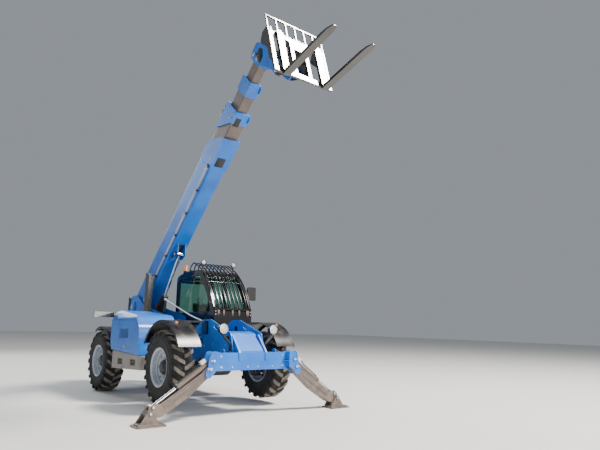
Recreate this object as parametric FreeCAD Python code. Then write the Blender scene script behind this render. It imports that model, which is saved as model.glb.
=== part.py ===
import FreeCAD, Part
import math
import os

# Telescopic handler standing on its front stabilisers, boom raised.
# Units are millimetres. Front of the machine is -Y, the cab is on +X, up is +Z.
# Everything is drawn on a level chassis with y = 0 at the front axle and z = 0
# at the ground under the rear tyres, then the whole machine is pitched nose up.

V = FreeCAD.Vector
XAX = V(1, 0, 0)
YAX = V(0, 1, 0)

# stance
nose_up_deg = 1.6
seat_gap = 0.25
run_gap = 0.08

# wheels and axles
wheelbase = 3070.0
track_half = 1010.0
tyre_r = 625.0
tyre_w = 396.0
lug_h = 34.0
lug_count = 20
rim_r = 327.0
bead_r = 305.0
rim_w = 356.0
rim_bolts = 10
kingpin_in = 122.0
knuckle_r = 118.0
axle_tube_r = 88.0
fork_half_h = 178.0
front_guard_r = 790.0
rear_guard_r = 712.0

# frame
rail_x = 300.0
rail_t = 22.0
rail_bot = 500.0
axle_seat = 765.0
tail_y = wheelbase + 940.0
nose_top = 1450.0
tower_x = 212.0
tower_t = 24.0
tow_bore_r = 16.0

# stabilisers
beam_front = -1090.0
beam_back = -860.0
beam_half = 770.0
beam_bot = 600.0
beam_top = 885.0
leg_y = -1105.0
leg_w = 144.0
leg_plate = 16.0
ear_t = 16.0
ear_gap = 5.0
leg_pin_x = 856.0
leg_pin_z = 640.0
jack_pin_x = 806.0
jack_pin_z = 763.0
jack_pin_r = 24.0
jack_r = 48.0
jack_travel = 225.0
jack_share = 0.61
jack_eye_back = 85.0
jack_eye_up = 45.0
foot_x = 1815.0
foot_h = 165.0
foot_pin_r = 22.0
pad_len = 450.0
pad_wid = 310.0
sole_forward = 55.0
leg_pin_r = 28.0

# boom
boom_y = wheelbase + 617.0
boom_z = 1828.0
boom_deg = 42.9
boom_mid = -55.0
wall = 8.0
pad_fit = 0.25
stage_out = 320.0
collar_grow = 14.0
collar_mid = 280.0
collar_low = 400.0
# u runs along the boom from its pivot; a section spans rear to front
SECTIONS = [
    dict(name="main", w=340.0, h=560.0, rear=-330.0, front=4540.0),
    dict(name="second", w=284.0, h=446.0, rear=425.0, front=5500.0),
    dict(name="third", w=232.0, h=350.0, rear=765.0, front=6120.0),
    dict(name="inner", w=184.0, h=262.0, rear=1105.0, front=6500.0),
]
lift_u = 2050.0
lift_v = -440.0
lift_base_y = wheelbase + 222.0
lift_base_z = 906.0
lift_r = 66.0
lift_reach = 1379.0
lift_travel = 792.0
lift_eye_r = 44.0
lug_in = 78.0
lug_t = 20.0
head_start = SECTIONS[2]["front"] + 12.0 + stage_out + 8.0
head_pin_u = head_start + 245.0
head_pin_v = -947.0
head_pin_r = 34.0
tilt_base_u = head_start + 110.0
tilt_base_v = 110.0
tilt_r = 42.0
tilt_reach = 700.0
tilt_travel = 185.0
tilt_eye_y = -150.0
tilt_eye_z = 260.0
fork_deg = 15.0
fork_len = 1220.0
fork_w = 130.0
fork_t = 50.0
fork_x = 411.0
pin_above_heel = 550.0
pin_behind_heel = 500.0
hitch_in = 142.0
hitch_t = 22.0
rack_half = 615.0
rack_top = 1250.0
rack_bars = 7
side_in = 540.0
tilt_lug_in = 61.0

# cab
cab_in = 255.0
cab_out = 1150.0
cab_wall = 45.0
cab_front = 720.0
cab_rear = wheelbase - 610.0
cab_floor = 760.0
cab_sill = 1230.0
CAB_RADII = [40, 80, 160, 900, 90, 120, 200, 110, 60, 40]
DOOR_RADII = [50, 80, 120, 400, 90, 60, 50]
HINGE_Z = (1020.0, 2230.0)
hinge_x = cab_out + 18.0
hinge_y = 1826.0

# bonnet
bon_out = -1170.0
bon_in = -400.0
bon_front = 944.0
bon_rear = wheelbase - 620.0
sill_rear = wheelbase - 740.0
lid_x = bon_in + 12.0
lid_z = 1512.0
LID_HINGE_Y = (1420.0, 2060.0)


def box(x0, x1, y0, y1, z0, z1):
    return Part.makeBox(x1 - x0, y1 - y0, z1 - z0, V(x0, y0, z0))


def rounded_wire(pts, radii):
    """Closed wire through 3-D points with each corner rounded by its radius."""
    n = len(pts)
    if not isinstance(radii, (list, tuple)):
        radii = [radii] * n
    ends = []
    for i in range(n):
        p = pts[i]
        a = (pts[i - 1] - p)
        b = (pts[(i + 1) % n] - p)
        la, lb = a.Length, b.Length
        a = a * (1.0 / la)
        b = b * (1.0 / lb)
        ang = math.acos(max(-1.0, min(1.0, a.dot(b))))
        r = radii[i]
        if r <= 0 or ang > math.pi - 0.01:
            ends.append((p, None, p))
            continue
        t = r / math.tan(ang / 2.0)
        t = min(t, 0.49 * la, 0.49 * lb)
        r = t * math.tan(ang / 2.0)
        bis = a + b
        bis = bis * (1.0 / bis.Length)
        mid = p + bis * (r / math.sin(ang / 2.0) - r)
        ends.append((p + a * t, mid, p + b * t))
    edges = []
    for i in range(n):
        s, m, e = ends[i]
        if m is not None:
            edges.append(Part.Arc(s, m, e).toShape())
        nxt = ends[(i + 1) % n][0]
        if (nxt - e).Length > 1e-6:
            edges.append(Part.makeLine(e, nxt))
    return Part.Wire(edges)


def prism_x(pts, x0, x1, r=0):
    """Solid of a (y, z) outline from x0 to x1."""
    w = rounded_wire([V(x0, y, z) for y, z in pts], r)
    return Part.Face(w).extrude(V(x1 - x0, 0, 0))


def prism_y(pts, y0, y1, r=0):
    """Solid of an (x, z) outline from y0 to y1."""
    w = rounded_wire([V(x, y0, z) for x, z in pts], r)
    return Part.Face(w).extrude(V(0, y1 - y0, 0))


def prism_z(pts, z0, z1, r=0):
    """Solid of an (x, y) outline from z0 to z1."""
    w = rounded_wire([V(x, y, z0) for x, y in pts], r)
    return Part.Face(w).extrude(V(0, 0, z1 - z0))


def rod(p, q, r):
    d = q - p
    return Part.makeCylinder(r, d.Length, p, d)


def tube(p, q, r, ri):
    d = q - p
    s = Part.makeCylinder(r, d.Length, p, d)
    e = d * (1.0 / d.Length)
    return s.cut(Part.makeCylinder(ri, d.Length + 4, p - e * 2, d))


def fuse(parts):
    s = parts[0]
    if len(parts) > 1:
        s = s.multiFuse(parts[1:])
    return s.removeSplitter()


def both(shape):
    """The shape and its mirror image across x = 0."""
    return [shape, shape.mirror(V(0, 0, 0), XAX)]


def mirror(shape):
    return shape.mirror(V(0, 0, 0), XAX)


def turn(shape, centre, axis, deg):
    s = shape.copy()
    s.rotate(centre, axis, deg)
    return s


def move(shape, x, y, z):
    s = shape.copy()
    s.translate(V(x, y, z))
    return s


def spin_x(profile, y, z):
    """Solid of revolution about the X line through (y, z); profile is (x, r)."""
    w = Part.makePolygon([V(a, y, z + b) for a, b in profile + profile[:1]])
    return Part.Face(w).revolve(V(0, y, z), XAX, 360)


def lies(a_deg):
    return math.radians(a_deg)


def boom_place(shape, deg=boom_deg):
    """From boom axes (forward -Y, up +Z, origin at the pivot) to the chassis."""
    s = turn(shape, V(0, 0, 0), XAX, -deg)
    return move(s, 0, boom_y, boom_z)


def boom_point(u, v, deg=boom_deg):
    c, s = math.cos(lies(deg)), math.sin(lies(deg))
    return boom_y - u * c + v * s, boom_z + u * s + v * c


def head_place(shape):
    """From carriage axes (forks along -Y, origin at its pin) to the chassis."""
    y, z = boom_point(head_pin_u, head_pin_v)
    return move(turn(shape, V(0, 0, 0), XAX, -fork_deg), 0, y, z)


# running gear

def tyre_solid():
    half = tyre_w / 2
    body = tyre_r - lug_h
    prof = [
        (-rim_w / 2 + 48, bead_r - 2.9 + seat_gap), (-rim_w / 2 + 18.3, bead_r + seat_gap),
        (-rim_w / 2 + 10.3, rim_r + 0.3), (-rim_w / 2 - 8, rim_r + 6),
        (-half + 8, rim_r + 75), (-half, rim_r + 135), (-half + 12, body - 62),
        (-half + 42, body - 16), (-half + 92, body), (half - 92, body),
        (half - 42, body - 16), (half - 12, body - 62), (half, rim_r + 135),
        (half - 8, rim_r + 75), (rim_w / 2 + 8, rim_r + 6), (rim_w / 2 - 10.3, rim_r + 0.3),
        (rim_w / 2 - 18.3, bead_r + seat_gap), (rim_w / 2 - 48, bead_r - 2.9 + seat_gap),
        (rim_w / 2 - 60, bead_r + 40), (rim_w / 2 - 40, rim_r + 150),
        (0, body - 60), (-rim_w / 2 + 40, rim_r + 150), (-rim_w / 2 + 60, bead_r + 40),
    ]
    tyre = spin_x(prof, 0, 0)
    crown = spin_x([(-half - 2, body - 74), (-half + 44, body - 24), (-half + 90, body - 6),
                    (0, body - 6), (0, tyre_r), (-half + 62, tyre_r - 2),
                    (-half + 16, tyre_r - 22), (-half - 2, tyre_r - 60)], 0, 0)
    bar = prism_z([(14, -34), (14, 26), (-60, 62), (-half - 6, 158), (-half - 6, 96),
                   (-70, 0)], body - 90, tyre_r + 10)
    left = bar.common(crown)
    step = 360.0 / lug_count
    lugs = []
    for k in range(lug_count):
        lugs.append(turn(left, V(0, 0, 0), XAX, k * step))
        lugs.append(turn(mirror(left), V(0, 0, 0), XAX, (k + 0.5) * step))
    return fuse([tyre] + lugs)


def rim_solid():
    half = rim_w / 2
    prof = [
        (-half, rim_r), (-half + 10, rim_r), (-half + 18, bead_r), (-half + 70, bead_r - 6),
        (-half + 100, bead_r - 36), (half - 110, bead_r - 36), (half - 80, bead_r - 6),
        (half - 18, bead_r), (half - 10, rim_r), (half, rim_r), (half, rim_r - 12),
        (half - 12, bead_r - 14), (half - 84, bead_r - 22), (half - 112, bead_r - 50),
        (-half + 98, bead_r - 50), (-half + 66, bead_r - 22), (-half + 12, bead_r - 14),
        (-half, rim_r - 12),
    ]
    hoop = spin_x(prof, 0, 0)
    disc = spin_x([(half - 128, bead_r - 44), (half - 112, bead_r - 44), (half - 118, 190),
                   (half - 148, 172), (half - 148, 60), (half - 166, 60), (half - 166, 178),
                   (half - 136, 202)], 0, 0)
    cap = spin_x([(half - 160, 0), (half - 160, 150), (half - 140, 150), (half - 92, 118),
                  (half - 60, 96), (half - 52, 60), (half - 52, 0)], 0, 0)
    holes = []
    for k in range(8):
        h = rod(V(half - 200, 0, 232), V(half - 80, 0, 232), 26)
        holes.append(turn(h, V(0, 0, 0), XAX, k * 45.0))
    nuts = []
    for k in range(rim_bolts):
        h = rod(V(half - 152, 0, 132), V(half - 122, 0, 132), 15)
        nuts.append(turn(h, V(0, 0, 0), XAX, k * 360.0 / rim_bolts + 18))
    # the hub on the inner side runs on the knuckle's spindle
    hub = spin_x([(-60, 52 + run_gap), (-60, 104), (half - 158, 104), (half - 158, 52 + run_gap)],
                 0, 0)
    body = fuse([hoop, disc.cut(Part.makeCompound(holes)), cap, hub] + nuts)
    return body


def wheel_at(shape, side, y):
    """Place a wheel drawn for the left side; the right one is its mirror."""
    s = shape if side > 0 else mirror(shape)
    return move(s, side * track_half, y, tyre_r)


def knuckle_solid():
    """Left knuckle about the wheel centre: swivel body, spindle and arm."""
    kx = -kingpin_in
    post = rod(V(kx, 0, -fork_half_h + 22), V(kx, 0, fork_half_h - 22), 62)
    drum = rod(V(kx - 30, 0, 0), V(-66, 0, 0), knuckle_r)
    flange = rod(V(-82, 0, 0), V(-66, 0, 0), 138)
    spindle = rod(V(-70, 0, 0), V(rim_w / 2 - 160 - seat_gap, 0, 0), 52)
    pin_up = rod(V(kx, 0, -fork_half_h - 8), V(kx, 0, fork_half_h + 8), 26)
    arm = box(kx - 70, kx + 26, 90, 236, -24, 8)
    eye = rod(V(kx - 44, 232, -30), V(kx - 44, 232, 14), 30)
    return fuse([post, drum, flange, spindle, pin_up, arm, eye])


def axle_solid(y0, arm_side):
    """Axle housing across the machine with a fork at each end for the knuckles."""
    kx = track_half - kingpin_in
    zc = tyre_r
    tube_part = rod(V(-kx + 190, y0, zc), V(kx - 190, y0, zc), axle_tube_r)
    ball = spin_x([(-230, 0), (-230, 110), (-150, 175), (150, 175), (230, 110), (230, 0)], y0, zc)
    nose = rod(V(0, y0, zc), V(0, y0 - arm_side * 300, zc + 14), 78)
    parts = [tube_part, ball, nose]
    for s in (1, -1):
        fork = prism_y([(s * (kx - 230), zc - 84), (s * (kx - 150), zc - fork_half_h - 34),
                        (s * (kx + 52), zc - fork_half_h - 34),
                        (s * (kx + 52), zc - fork_half_h), (s * (kx - 128), zc - fork_half_h),
                        (s * (kx - 168), zc), (s * (kx - 128), zc + fork_half_h),
                        (s * (kx + 52), zc + fork_half_h),
                        (s * (kx + 52), zc + fork_half_h + 34),
                        (s * (kx - 150), zc + fork_half_h + 34), (s * (kx - 230), zc + 84)],
                       y0 - 62, y0 + 62)
        bore = rod(V(s * kx, y0, zc - 300), V(s * kx, y0, zc + 300), 26 + run_gap)
        parts.append(fork.cut(bore))
    # saddles up to the frame rails
    for s in (1, -1):
        xm = s * (rail_x + rail_t / 2)
        parts.append(box(xm - 60, xm + 60, y0 - 110, y0 + 110, zc + 30, axle_seat - seat_gap))
    return fuse(parts)


# frame

def frame_solid():
    """Two side plates from nose to tail with the boom tower rising at the rear."""
    y_nose = beam_back + seat_gap
    z_beam = beam_top + seat_gap
    wb = wheelbase
    tail = tail_y - 240
    side = [(y_nose, 620), (y_nose, z_beam), (-960, z_beam), (-880, 1190), (-800, 1235),
            (-660, 1280), (-168, nose_top), (120, nose_top), (560, 1180), (900, 900),
            (wb - 570, 900), (wb - 70, 1290), (tail, 1290), (tail, 1080), (tail, 560),
            (wb + 430, rail_bot), (wb + 260, rail_bot), (wb + 160, axle_seat),
            (wb - 160, axle_seat), (wb - 280, rail_bot), (500, rail_bot), (280, axle_seat),
            (-280, axle_seat), (-480, 600)]
    rad = [0, 0, 0, 60, 30, 30, 90, 60, 120, 60, 80, 120, 0, 0, 0, 60, 0, 60, 60, 60, 60, 60,
           60, 60]
    plate = prism_x(side, rail_x, rail_x + rail_t, rad)
    slot = prism_x([(-420, 1290), (-300, 1350), (-276, 1310), (-396, 1250)],
                   rail_x - 5, rail_x + rail_t + 5, 18)
    round_hole = rod(V(rail_x - 5, -40, 1290), V(rail_x + rail_t + 5, -40, 1290), 55)
    bay = prism_x([(60, 1000), (60, 1180), (330, 1180), (500, 1000)], rail_x - 5,
                  rail_x + rail_t + 5, 40)
    plate = plate.cut(slot).cut(round_hole).cut(bay)
    # tower plates: a long hollow curve sweeps from the pivot down towards the cab
    tower = prism_x([(wb - 1150, 960), (wb - 1190, 1560), (wb - 881, 1641), (wb - 226, 1762),
                     (wb + 135, 1890), (wb + 333, 2015), (wb + 490, 2096), (wb + 708, 2072),
                     (wb + 955, 2008), (wb + 958, 1730), (wb + 800, 1300), (tail, 1200),
                     (tail, 960)], tower_x, tower_x + tower_t,
                    [60, 60, 400, 700, 300, 200, 70, 120, 60, 120, 90, 0, 0])
    window = prism_x([(wb - 950, 1080), (wb - 950, 1400), (wb - 300, 1400), (wb - 200, 1080)],
                     tower_x - 5, tower_x + tower_t + 5, 80)
    parts = both(plate) + both(tower.cut(window))
    w = rail_x + 4
    # cross members between the side plates
    parts.append(box(-w, w, -560 + seat_gap, -536, 640, 1200))
    parts.append(box(-w, w, 330, 430, 520, 620))
    parts.append(box(-w, w, 1300, 1400, 520, 700))
    parts.append(box(-w, w, wb - 770, wb - 670, 520, 700))
    parts.append(box(-w, w, tail - 20, tail + 4, 600, 1270))
    deck = box(-w, w, wb - 10, wb + 630, 1060, 1084)
    parts.append(deck.cut(box(-150, 150, wb - 170, wb + 490, 1050, 1100)))
    # outriggers tie the forward ends of the tower plates to the side plates
    parts.append(box(-w, w, wb - 1100, wb - 1076, 870, 980))
    # sloping nose deck under the lowered boom
    parts.append(prism_x([(-560 + seat_gap, 1215), (-200, 1240), (100, 1240), (420, 1010),
                          (420, 986), (90, 1216), (-200, 1216), (-560 + seat_gap, 1190)], -w, w))
    # boss plates and pin of the boom
    for s in (1, -1):
        parts.append(rod(V(s * (tower_x - 4), boom_y, boom_z),
                         V(s * (tower_x + tower_t + 26), boom_y, boom_z), 118))
    parts.append(rod(V(-tower_x - tower_t - 40, boom_y, boom_z),
                     V(tower_x + tower_t + 40, boom_y, boom_z), 50))
    # lift cylinder base pin between two cheeks
    yb, zb = lift_base_y, lift_base_z
    for s in (1, -1):
        parts.append(prism_x([(yb - 30, zb - 194), (yb - 42, zb - 46), (yb - 62, zb + 74),
                              (yb + 62, zb + 74), (yb + 138, zb - 26), (yb + 168, zb - 194)],
                             s * 92 - 11, s * 92 + 11, [0, 0, 60, 60, 30, 0]))
    parts.append(rod(V(-120, yb, zb), V(120, yb, zb), 36))
    parts.append(box(-w, w, yb - 38, yb + 188, zb - 210, zb - 188))
    return fuse(parts)


def leg_pin_stubs(x, y0, y1):
    """Leg pin in two stubs, so that the cylinder passes between them."""
    gap = leg_w / 2 - leg_plate
    return [rod(V(x, y0, leg_pin_z), V(x, leg_y - gap, leg_pin_z), leg_pin_r),
            rod(V(x, leg_y + gap, leg_pin_z), V(x, y1, leg_pin_z), leg_pin_r)]


def beam_solid():
    """Stabiliser cross beam with ears, sloping centre block and two ribs."""
    core = box(-beam_half, beam_half, beam_front, beam_back, beam_bot, beam_top)
    parts = [core]
    zf = beam_top
    block = prism_x([(beam_front + 30, zf - 5), (beam_front + 40, zf + 30), (-760, 1200),
                     (-620, 1235), (-560, 1235), (-560, zf - 5)], -248, 248,
                    [0, 10, 30, 30, 10, 0])
    block = block.cut(prism_x([(-1020, zf - 50), (-740, 1160), (-620, 1180), (-580, zf - 50)],
                              -230, 230))
    parts.append(block)
    for s in (1, -1):
        parts.append(prism_x([(beam_front - 14, 760), (beam_front - 14, zf - 5),
                              (beam_front + 12, zf + 34), (-850, 1186), (-800, 1186),
                              (-800, 1120), (-870, zf - 20), (beam_front + 8, zf - 20),
                              (beam_front + 8, 760)], s * 266 - 18, s * 266 + 18,
                             [8, 10, 20, 30, 20, 40, 0, 0, 0]))
    # ears each side: two plates with the leg between them
    inside = leg_w / 2 + ear_gap
    y_front = leg_y - inside - ear_t
    y_back = leg_y + inside
    px, pz = leg_pin_x, leg_pin_z
    jx, jz = jack_pin_x, jack_pin_z
    web_in, web_out = px - 160, px - 140
    ear = [(web_in, pz), (web_in, jz + 127), (jx - 16, jz + 152), (jx + 44, jz + 142),
           (jx + 84, jz + 37), (px + 49, pz + 50), (px + 94, pz - 50), (px + 84, pz - 120),
           (px + 24, pz - 145), (px - 36, pz - 95), (px - 96, pz - 30)]
    ear_rad = [20, 20, 60, 50, 60, 60, 50, 40, 50, 60, 30]
    # black oval recess round the cylinder's pin
    oval = [(jx - 34, jz - 56), (jx - 26, jz + 130), (jx + 40, jz + 136), (jx + 48, jz - 50)]
    for s in (1, -1):
        for y0 in (y_front, y_back):
            parts.append(prism_y([(s * x, z) for x, z in ear], y0, y0 + ear_t, ear_rad))
        a, b = sorted((s * web_in, s * web_out))
        parts.append(box(a, b, y_front + 2, beam_front + 4, pz, jz + 127))
        gusset = [(s * web_in, y_front + 2), (s * web_in, beam_front + 2),
                  (s * (web_in - 90), beam_front + 2)]
        parts.append(prism_z(gusset, pz + 90, pz + 106))
        parts += leg_pin_stubs(s * px, y_front - 14, y_back + ear_t + 10)
        parts.append(rod(V(s * jx, y_front - 14, jz), V(s * jx, y_back + ear_t + 10, jz),
                         jack_pin_r))
    solid = fuse(parts)
    cutters = []
    for s in (1, -1):
        a, b = sorted((s * web_out, s * (beam_half + 1)))
        pocket = box(a, b, leg_y - inside, leg_y + inside, beam_bot - 60, beam_top + 60)
        pocket = pocket.cut(rod(V(s * jx, leg_y - 200, jz), V(s * jx, leg_y + 200, jz),
                                jack_pin_r))
        cutters.append(pocket.cut(fuse(leg_pin_stubs(s * px, leg_y - 200, leg_y + 200))))
        recess = prism_y([(s * x, z) for x, z in oval], y_front - 2, y_front + 4, 30)
        keep = rod(V(s * jx, y_front - 20, jz), V(s * jx, y_front + 20, jz), jack_pin_r)
        cutters.append(recess.cut(keep))
    return solid.cut(Part.makeCompound(cutters))


def tail_solid():
    """Counterweight with a rounded outline and a towing jaw."""
    y0 = tail_y - 236 + seat_gap
    slab = prism_z([(-880, y0), (-880, tail_y - 80), (-800, tail_y), (800, tail_y),
                    (880, tail_y - 80), (880, y0)], 640, 1180, [0, 60, 60, 60, 60, 0])
    hollow_back = prism_z([(-300, tail_y - 40), (-260, tail_y + 10), (260, tail_y + 10),
                           (300, tail_y - 40)], 700, 1120, [40, 0, 0, 40])
    jaw_hi = box(-70, 70, tail_y - 30, tail_y + 70, 560, 590)
    jaw_lo = box(-70, 70, tail_y - 30, tail_y + 70, 480, 510)
    back = box(-90, 90, tail_y - 60, tail_y - 20, 470, 660)
    bore = rod(V(0, tail_y + 36, 470), V(0, tail_y + 36, 600), tow_bore_r)
    return fuse([slab.cut(hollow_back), fuse([jaw_hi, jaw_lo, back]).cut(bore)])


def mudguard_solid(side, y0, r_in, a0, a1, x0, x1):
    """A curved guard over one wheel with a turned-down outer lip."""
    t = 7.0
    zc = tyre_r
    arc = spin_x([(x0, r_in), (x1, r_in), (x1, r_in + t), (x0, r_in + t)], y0, zc)
    lip = spin_x([(x1 - t, r_in - 40), (x1, r_in - 40), (x1, r_in + t), (x1 - t, r_in + t)], y0, zc)
    s = fuse([arc, lip])
    far = r_in * 2.2
    keep = []
    n = 6
    for k in range(n + 1):
        a = lies(a0 + (a1 - a0) * k / n)
        keep.append((y0 - far * math.cos(a), zc + far * math.sin(a)))
    wedge = prism_x([(y0, zc)] + keep, x0 - 10, x1 + 10)
    s = s.common(wedge)
    return s if side > 0 else mirror(s)


def guards_solid():
    parts = []
    zc = tyre_r
    wb = wheelbase
    plate = rail_x + rail_t + seat_gap
    front = mudguard_solid(1, 0, front_guard_r, 26, 150, 780, 1190)
    post = box(rail_x + rail_t - 2, 800, -60, 60, zc + front_guard_r - 26, zc + front_guard_r + 4)
    foot = box(plate, rail_x + rail_t + 30, -90, 90, zc + 560, zc + front_guard_r)
    front = fuse([front, post, foot]).cut(box(0, plate, -400, 400, 600, 1600))
    rear = mudguard_solid(1, wb, rear_guard_r, 40, 118, 800, 1180)
    post = box(rail_x + rail_t - 2, 820, wb - 50, wb + 50, zc + 640, zc + rear_guard_r + 2)
    rear = fuse([rear, post]).cut(box(0, plate, wb - 570, wb + 530, 600, 1600))
    for s in (front, rear):
        parts += both(s)
    return Part.makeCompound(parts)


# engine side

def sill_solid():
    x0, x1 = bon_out + 20, -(rail_x + rail_t + seat_gap)
    body = prism_x([(850, 530), (850, 775), (sill_rear, 860), (sill_rear, 510)], x0, x1, 12)
    hollow = prism_x([(880, 560), (880, 745), (sill_rear - 30, 828), (sill_rear - 30, 540)],
                     x0 + 12, x1 - 60)
    vents = []
    for y in (1250, 1900):
        vents.append(box(x0 - 5, x0 + 40, y - 135, y + 135, 590, 720))
    body = body.cut(hollow)
    frames = []
    for y in (1250, 1900):
        f = box(x0 + 2, x0 + 22, y - 145, y + 145, 580, 730)
        frames.append(f.cut(box(x0 - 5, x0 + 30, y - 125, y + 125, 600, 710)))
        for k in range(4):
            z = 618 + k * 26
            frames.append(prism_x([(y - 128, z), (y - 128, z + 5), (y + 128, z + 5), (y + 128, z)],
                                  x0 + 5, x0 + 18))
    return fuse([body.cut(Part.makeCompound(vents))] + frames)


def engine_solid():
    block = box(-1040, bon_in - 30, 1090, 2190, 900, 1330)
    feet = [box(-440, -rail_x, y - 50, y + 50, 900 + seat_gap, 960) for y in (1250, 2050)]
    return fuse([block, box(-950, -470, 1150, 2100, 866, 901)] + feet)


def lid_top(y):
    """Height of the lid's top line, which climbs towards the rear."""
    return 1540.0 + (y - 1204.0) * 0.108


def bonnet_outer(inset):
    x0, x1 = bon_out + inset, bon_in
    y0, y1 = bon_front + inset, bon_rear - inset
    bot_f, bot_r = 790, 878
    low = 0 if inset == 0 else -40
    top_r = lid_top(bon_rear)
    side = [(y0, bot_f + low), (y0 + 60, lid_top(y0 + 60) - 200 - inset),
            (y0 + 260, lid_top(y0 + 260) - inset), (y1, top_r - inset), (y1, 1035 + low),
            (y1 - 80, bot_r + low)]
    a = prism_x(side, x0, x1, [0, 200, 220, 80, 40, 0])
    sec = [(x0, 700), (x0, top_r - 205), (x0 + 130, top_r - inset), (x1, top_r), (x1, 700)]
    b = prism_y(sec, y0 - 10, y1 + 10, [0, 150, 150, 0, 0])
    return a.common(b)


def bonnet_solid():
    """Lift-up engine lid: a hollow shell open below and towards the frame."""
    shell = bonnet_outer(0).cut(bonnet_outer(22))
    # louvred panel set into the side
    recess = box(bon_out - 5, bon_out + 6, 1500, 1960, 1080, 1300)
    shell = shell.cut(recess)
    ring = rod(V(bon_out - 6, 1660, 945), V(bon_out + 12, 1660, 945), 34)
    straps = []
    for y in LID_HINGE_Y:
        s = fuse([rod(V(lid_x, y - 30, lid_z), V(lid_x, y + 30, lid_z), 17),
                  box(lid_x - 16, lid_x, y - 30, y + 30, lid_z, lid_top(y - 30) - 3)])
        straps.append(s.cut(rod(V(lid_x, y - 40, lid_z), V(lid_x, y + 40, lid_z), 9 + run_gap)))
    return fuse([shell, ring] + straps)


def bonnet_hinge_solid():
    """Fixed rail along the frame that carries the lid's hinge."""
    x0 = bon_in + seat_gap
    x1 = -(rail_x + rail_t + seat_gap)
    rail_top = lid_z - 40
    parts = [box(x0, x0 + 20, 1000, bon_rear - 60, 1180, rail_top)]
    parts.append(box(x0, x1, 1000, 1060, 860, rail_top))
    parts.append(box(x0, x1, bon_rear - 120, bon_rear - 60, 860, rail_top))
    for y in LID_HINGE_Y:
        parts.append(rod(V(lid_x, y - 60, lid_z), V(lid_x, y + 60, lid_z), 9))
        for dy in (-60, 34):
            parts.append(box(x0, x0 + 20, y + dy, y + dy + 26, rail_top - 10, lid_z))
            parts.append(rod(V(lid_x, y + dy, lid_z), V(lid_x, y + dy + 26, lid_z), 15))
    return fuse(parts).cut(box(x1, 0, 800, 2500, 500, 1800))


# cab

def cab_profile(inset):
    i = inset
    return [(cab_front + 130 + i, cab_floor + i), (cab_front + i, 1300), (cab_front + i, 1645),
            (cab_front + 215 + i, 2060), (1320 + i, 2520 - i), (1450, 2545 - i), (cab_rear - 380, 2540 - i),
            (cab_rear - i, 2470 - i), (cab_rear - i, 1050), (cab_rear - 94 - i, cab_floor + i)]


def cab_solid():
    outer = prism_x(cab_profile(0), cab_in, cab_out, CAB_RADII)
    outer = outer.cut(box(0, rail_x + rail_t + seat_gap, 400, cab_rear + 40, 400, cab_sill))
    inner = prism_x(cab_profile(cab_wall), cab_in + cab_wall, cab_out - cab_wall,
                    [max(5, r - cab_wall) for r in CAB_RADII])
    inner = inner.cut(box(0, rail_x + rail_t + seat_gap + cab_wall, 400, cab_rear + 40, 400,
                          cab_sill + cab_wall))
    shell = outer.cut(inner)
    cuts = []
    # windscreen and roof light between the side posts
    cuts.append(prism_x([(600, 1700), (600, 2700), (1210, 2700), (1300, 2440), (990, 1980),
                         (800, 1700)], cab_in + 55, cab_out - 55))
    cuts.append(box(cab_in + 110, cab_out - 110, 1440, 2060, 2460, 2700))
    # rear window
    cuts.append(box(cab_in + 80, cab_out - 80, cab_rear - 80, cab_rear + 20, 1560, 2330))
    # side window facing the boom
    win = [(870, 1640), (1040, 2010), (1370, 2430), (2340, 2400), (2340, 1640)]
    cuts.append(prism_x(win, cab_in - 5, cab_in + cab_wall + 5, [60, 200, 80, 80, 60]))
    # door opening and rear quarter window on the outer side
    door = door_outline(0)
    cuts.append(prism_x(door, cab_out - cab_wall - 5, cab_out + 5, DOOR_RADII))
    rear = cab_rear - 110
    quarter = [(1880, 1560), (1880, 2400), (rear, 2370), (rear, 1560)]
    cuts.append(prism_x(quarter, cab_out - cab_wall - 5, cab_out + 5, 60))
    pins = []
    for z in HINGE_Z:
        pins.append(rod(V(hinge_x, hinge_y, z - 44), V(hinge_x, hinge_y, z + 44), 9))
        for dz in (-44, 18):
            pins.append(box(cab_out - 4, hinge_x + 10, hinge_y + 2, hinge_y + 40, z + dz,
                            z + dz + 26))
            pins.append(rod(V(hinge_x, hinge_y, z + dz), V(hinge_x, hinge_y, z + dz + 26), 15))
    return fuse([shell.cut(Part.makeCompound(cuts))] + pins)


def door_outline(inset):
    i = inset
    return [(960 + i, 840 + i), (890 + i, 1330), (890 + i, 1620), (1070 + i, 2010),
            (1390 + i, 2440 - i), (1800 - i, 2440 - i), (1800 - i, 840 + i)]


def door_solid():
    outer = prism_x(door_outline(6), cab_out - 40, cab_out - 2, [max(5, r - 6) for r in DOOR_RADII])
    hole = prism_x([(960, 1560), (960, 1640), (1120, 2000), (1420, 2380), (1740, 2380),
                    (1740, 1560)], cab_out - 60, cab_out + 20, [40, 90, 300, 60, 50, 50])
    pan = prism_x([(1010, 900), (960, 1300), (960, 1500), (1740, 1500), (1740, 900)],
                  cab_out - 45, cab_out - 22, 40)
    handle = fuse([box(cab_out - 4, cab_out + 18, 1010, 1030, 1430, 1450),
                   box(cab_out - 4, cab_out + 18, 1150, 1170, 1430, 1450),
                   box(cab_out + 10, cab_out + 22, 1010, 1170, 1430, 1450)])
    straps = []
    for z in HINGE_Z:
        s = fuse([box(cab_out - 10, cab_out + 8, 1700, 1786, z - 14, z + 14),
                  box(cab_out + 2, cab_out + 8, 1780, hinge_y, z - 14, z + 14),
                  rod(V(hinge_x, hinge_y, z - 14), V(hinge_x, hinge_y, z + 14), 16)])
        straps.append(s.cut(rod(V(hinge_x, hinge_y, z - 20), V(hinge_x, hinge_y, z + 20),
                                9 + run_gap)))
    return fuse([outer.cut(hole).cut(pan), handle] + straps)


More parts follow.
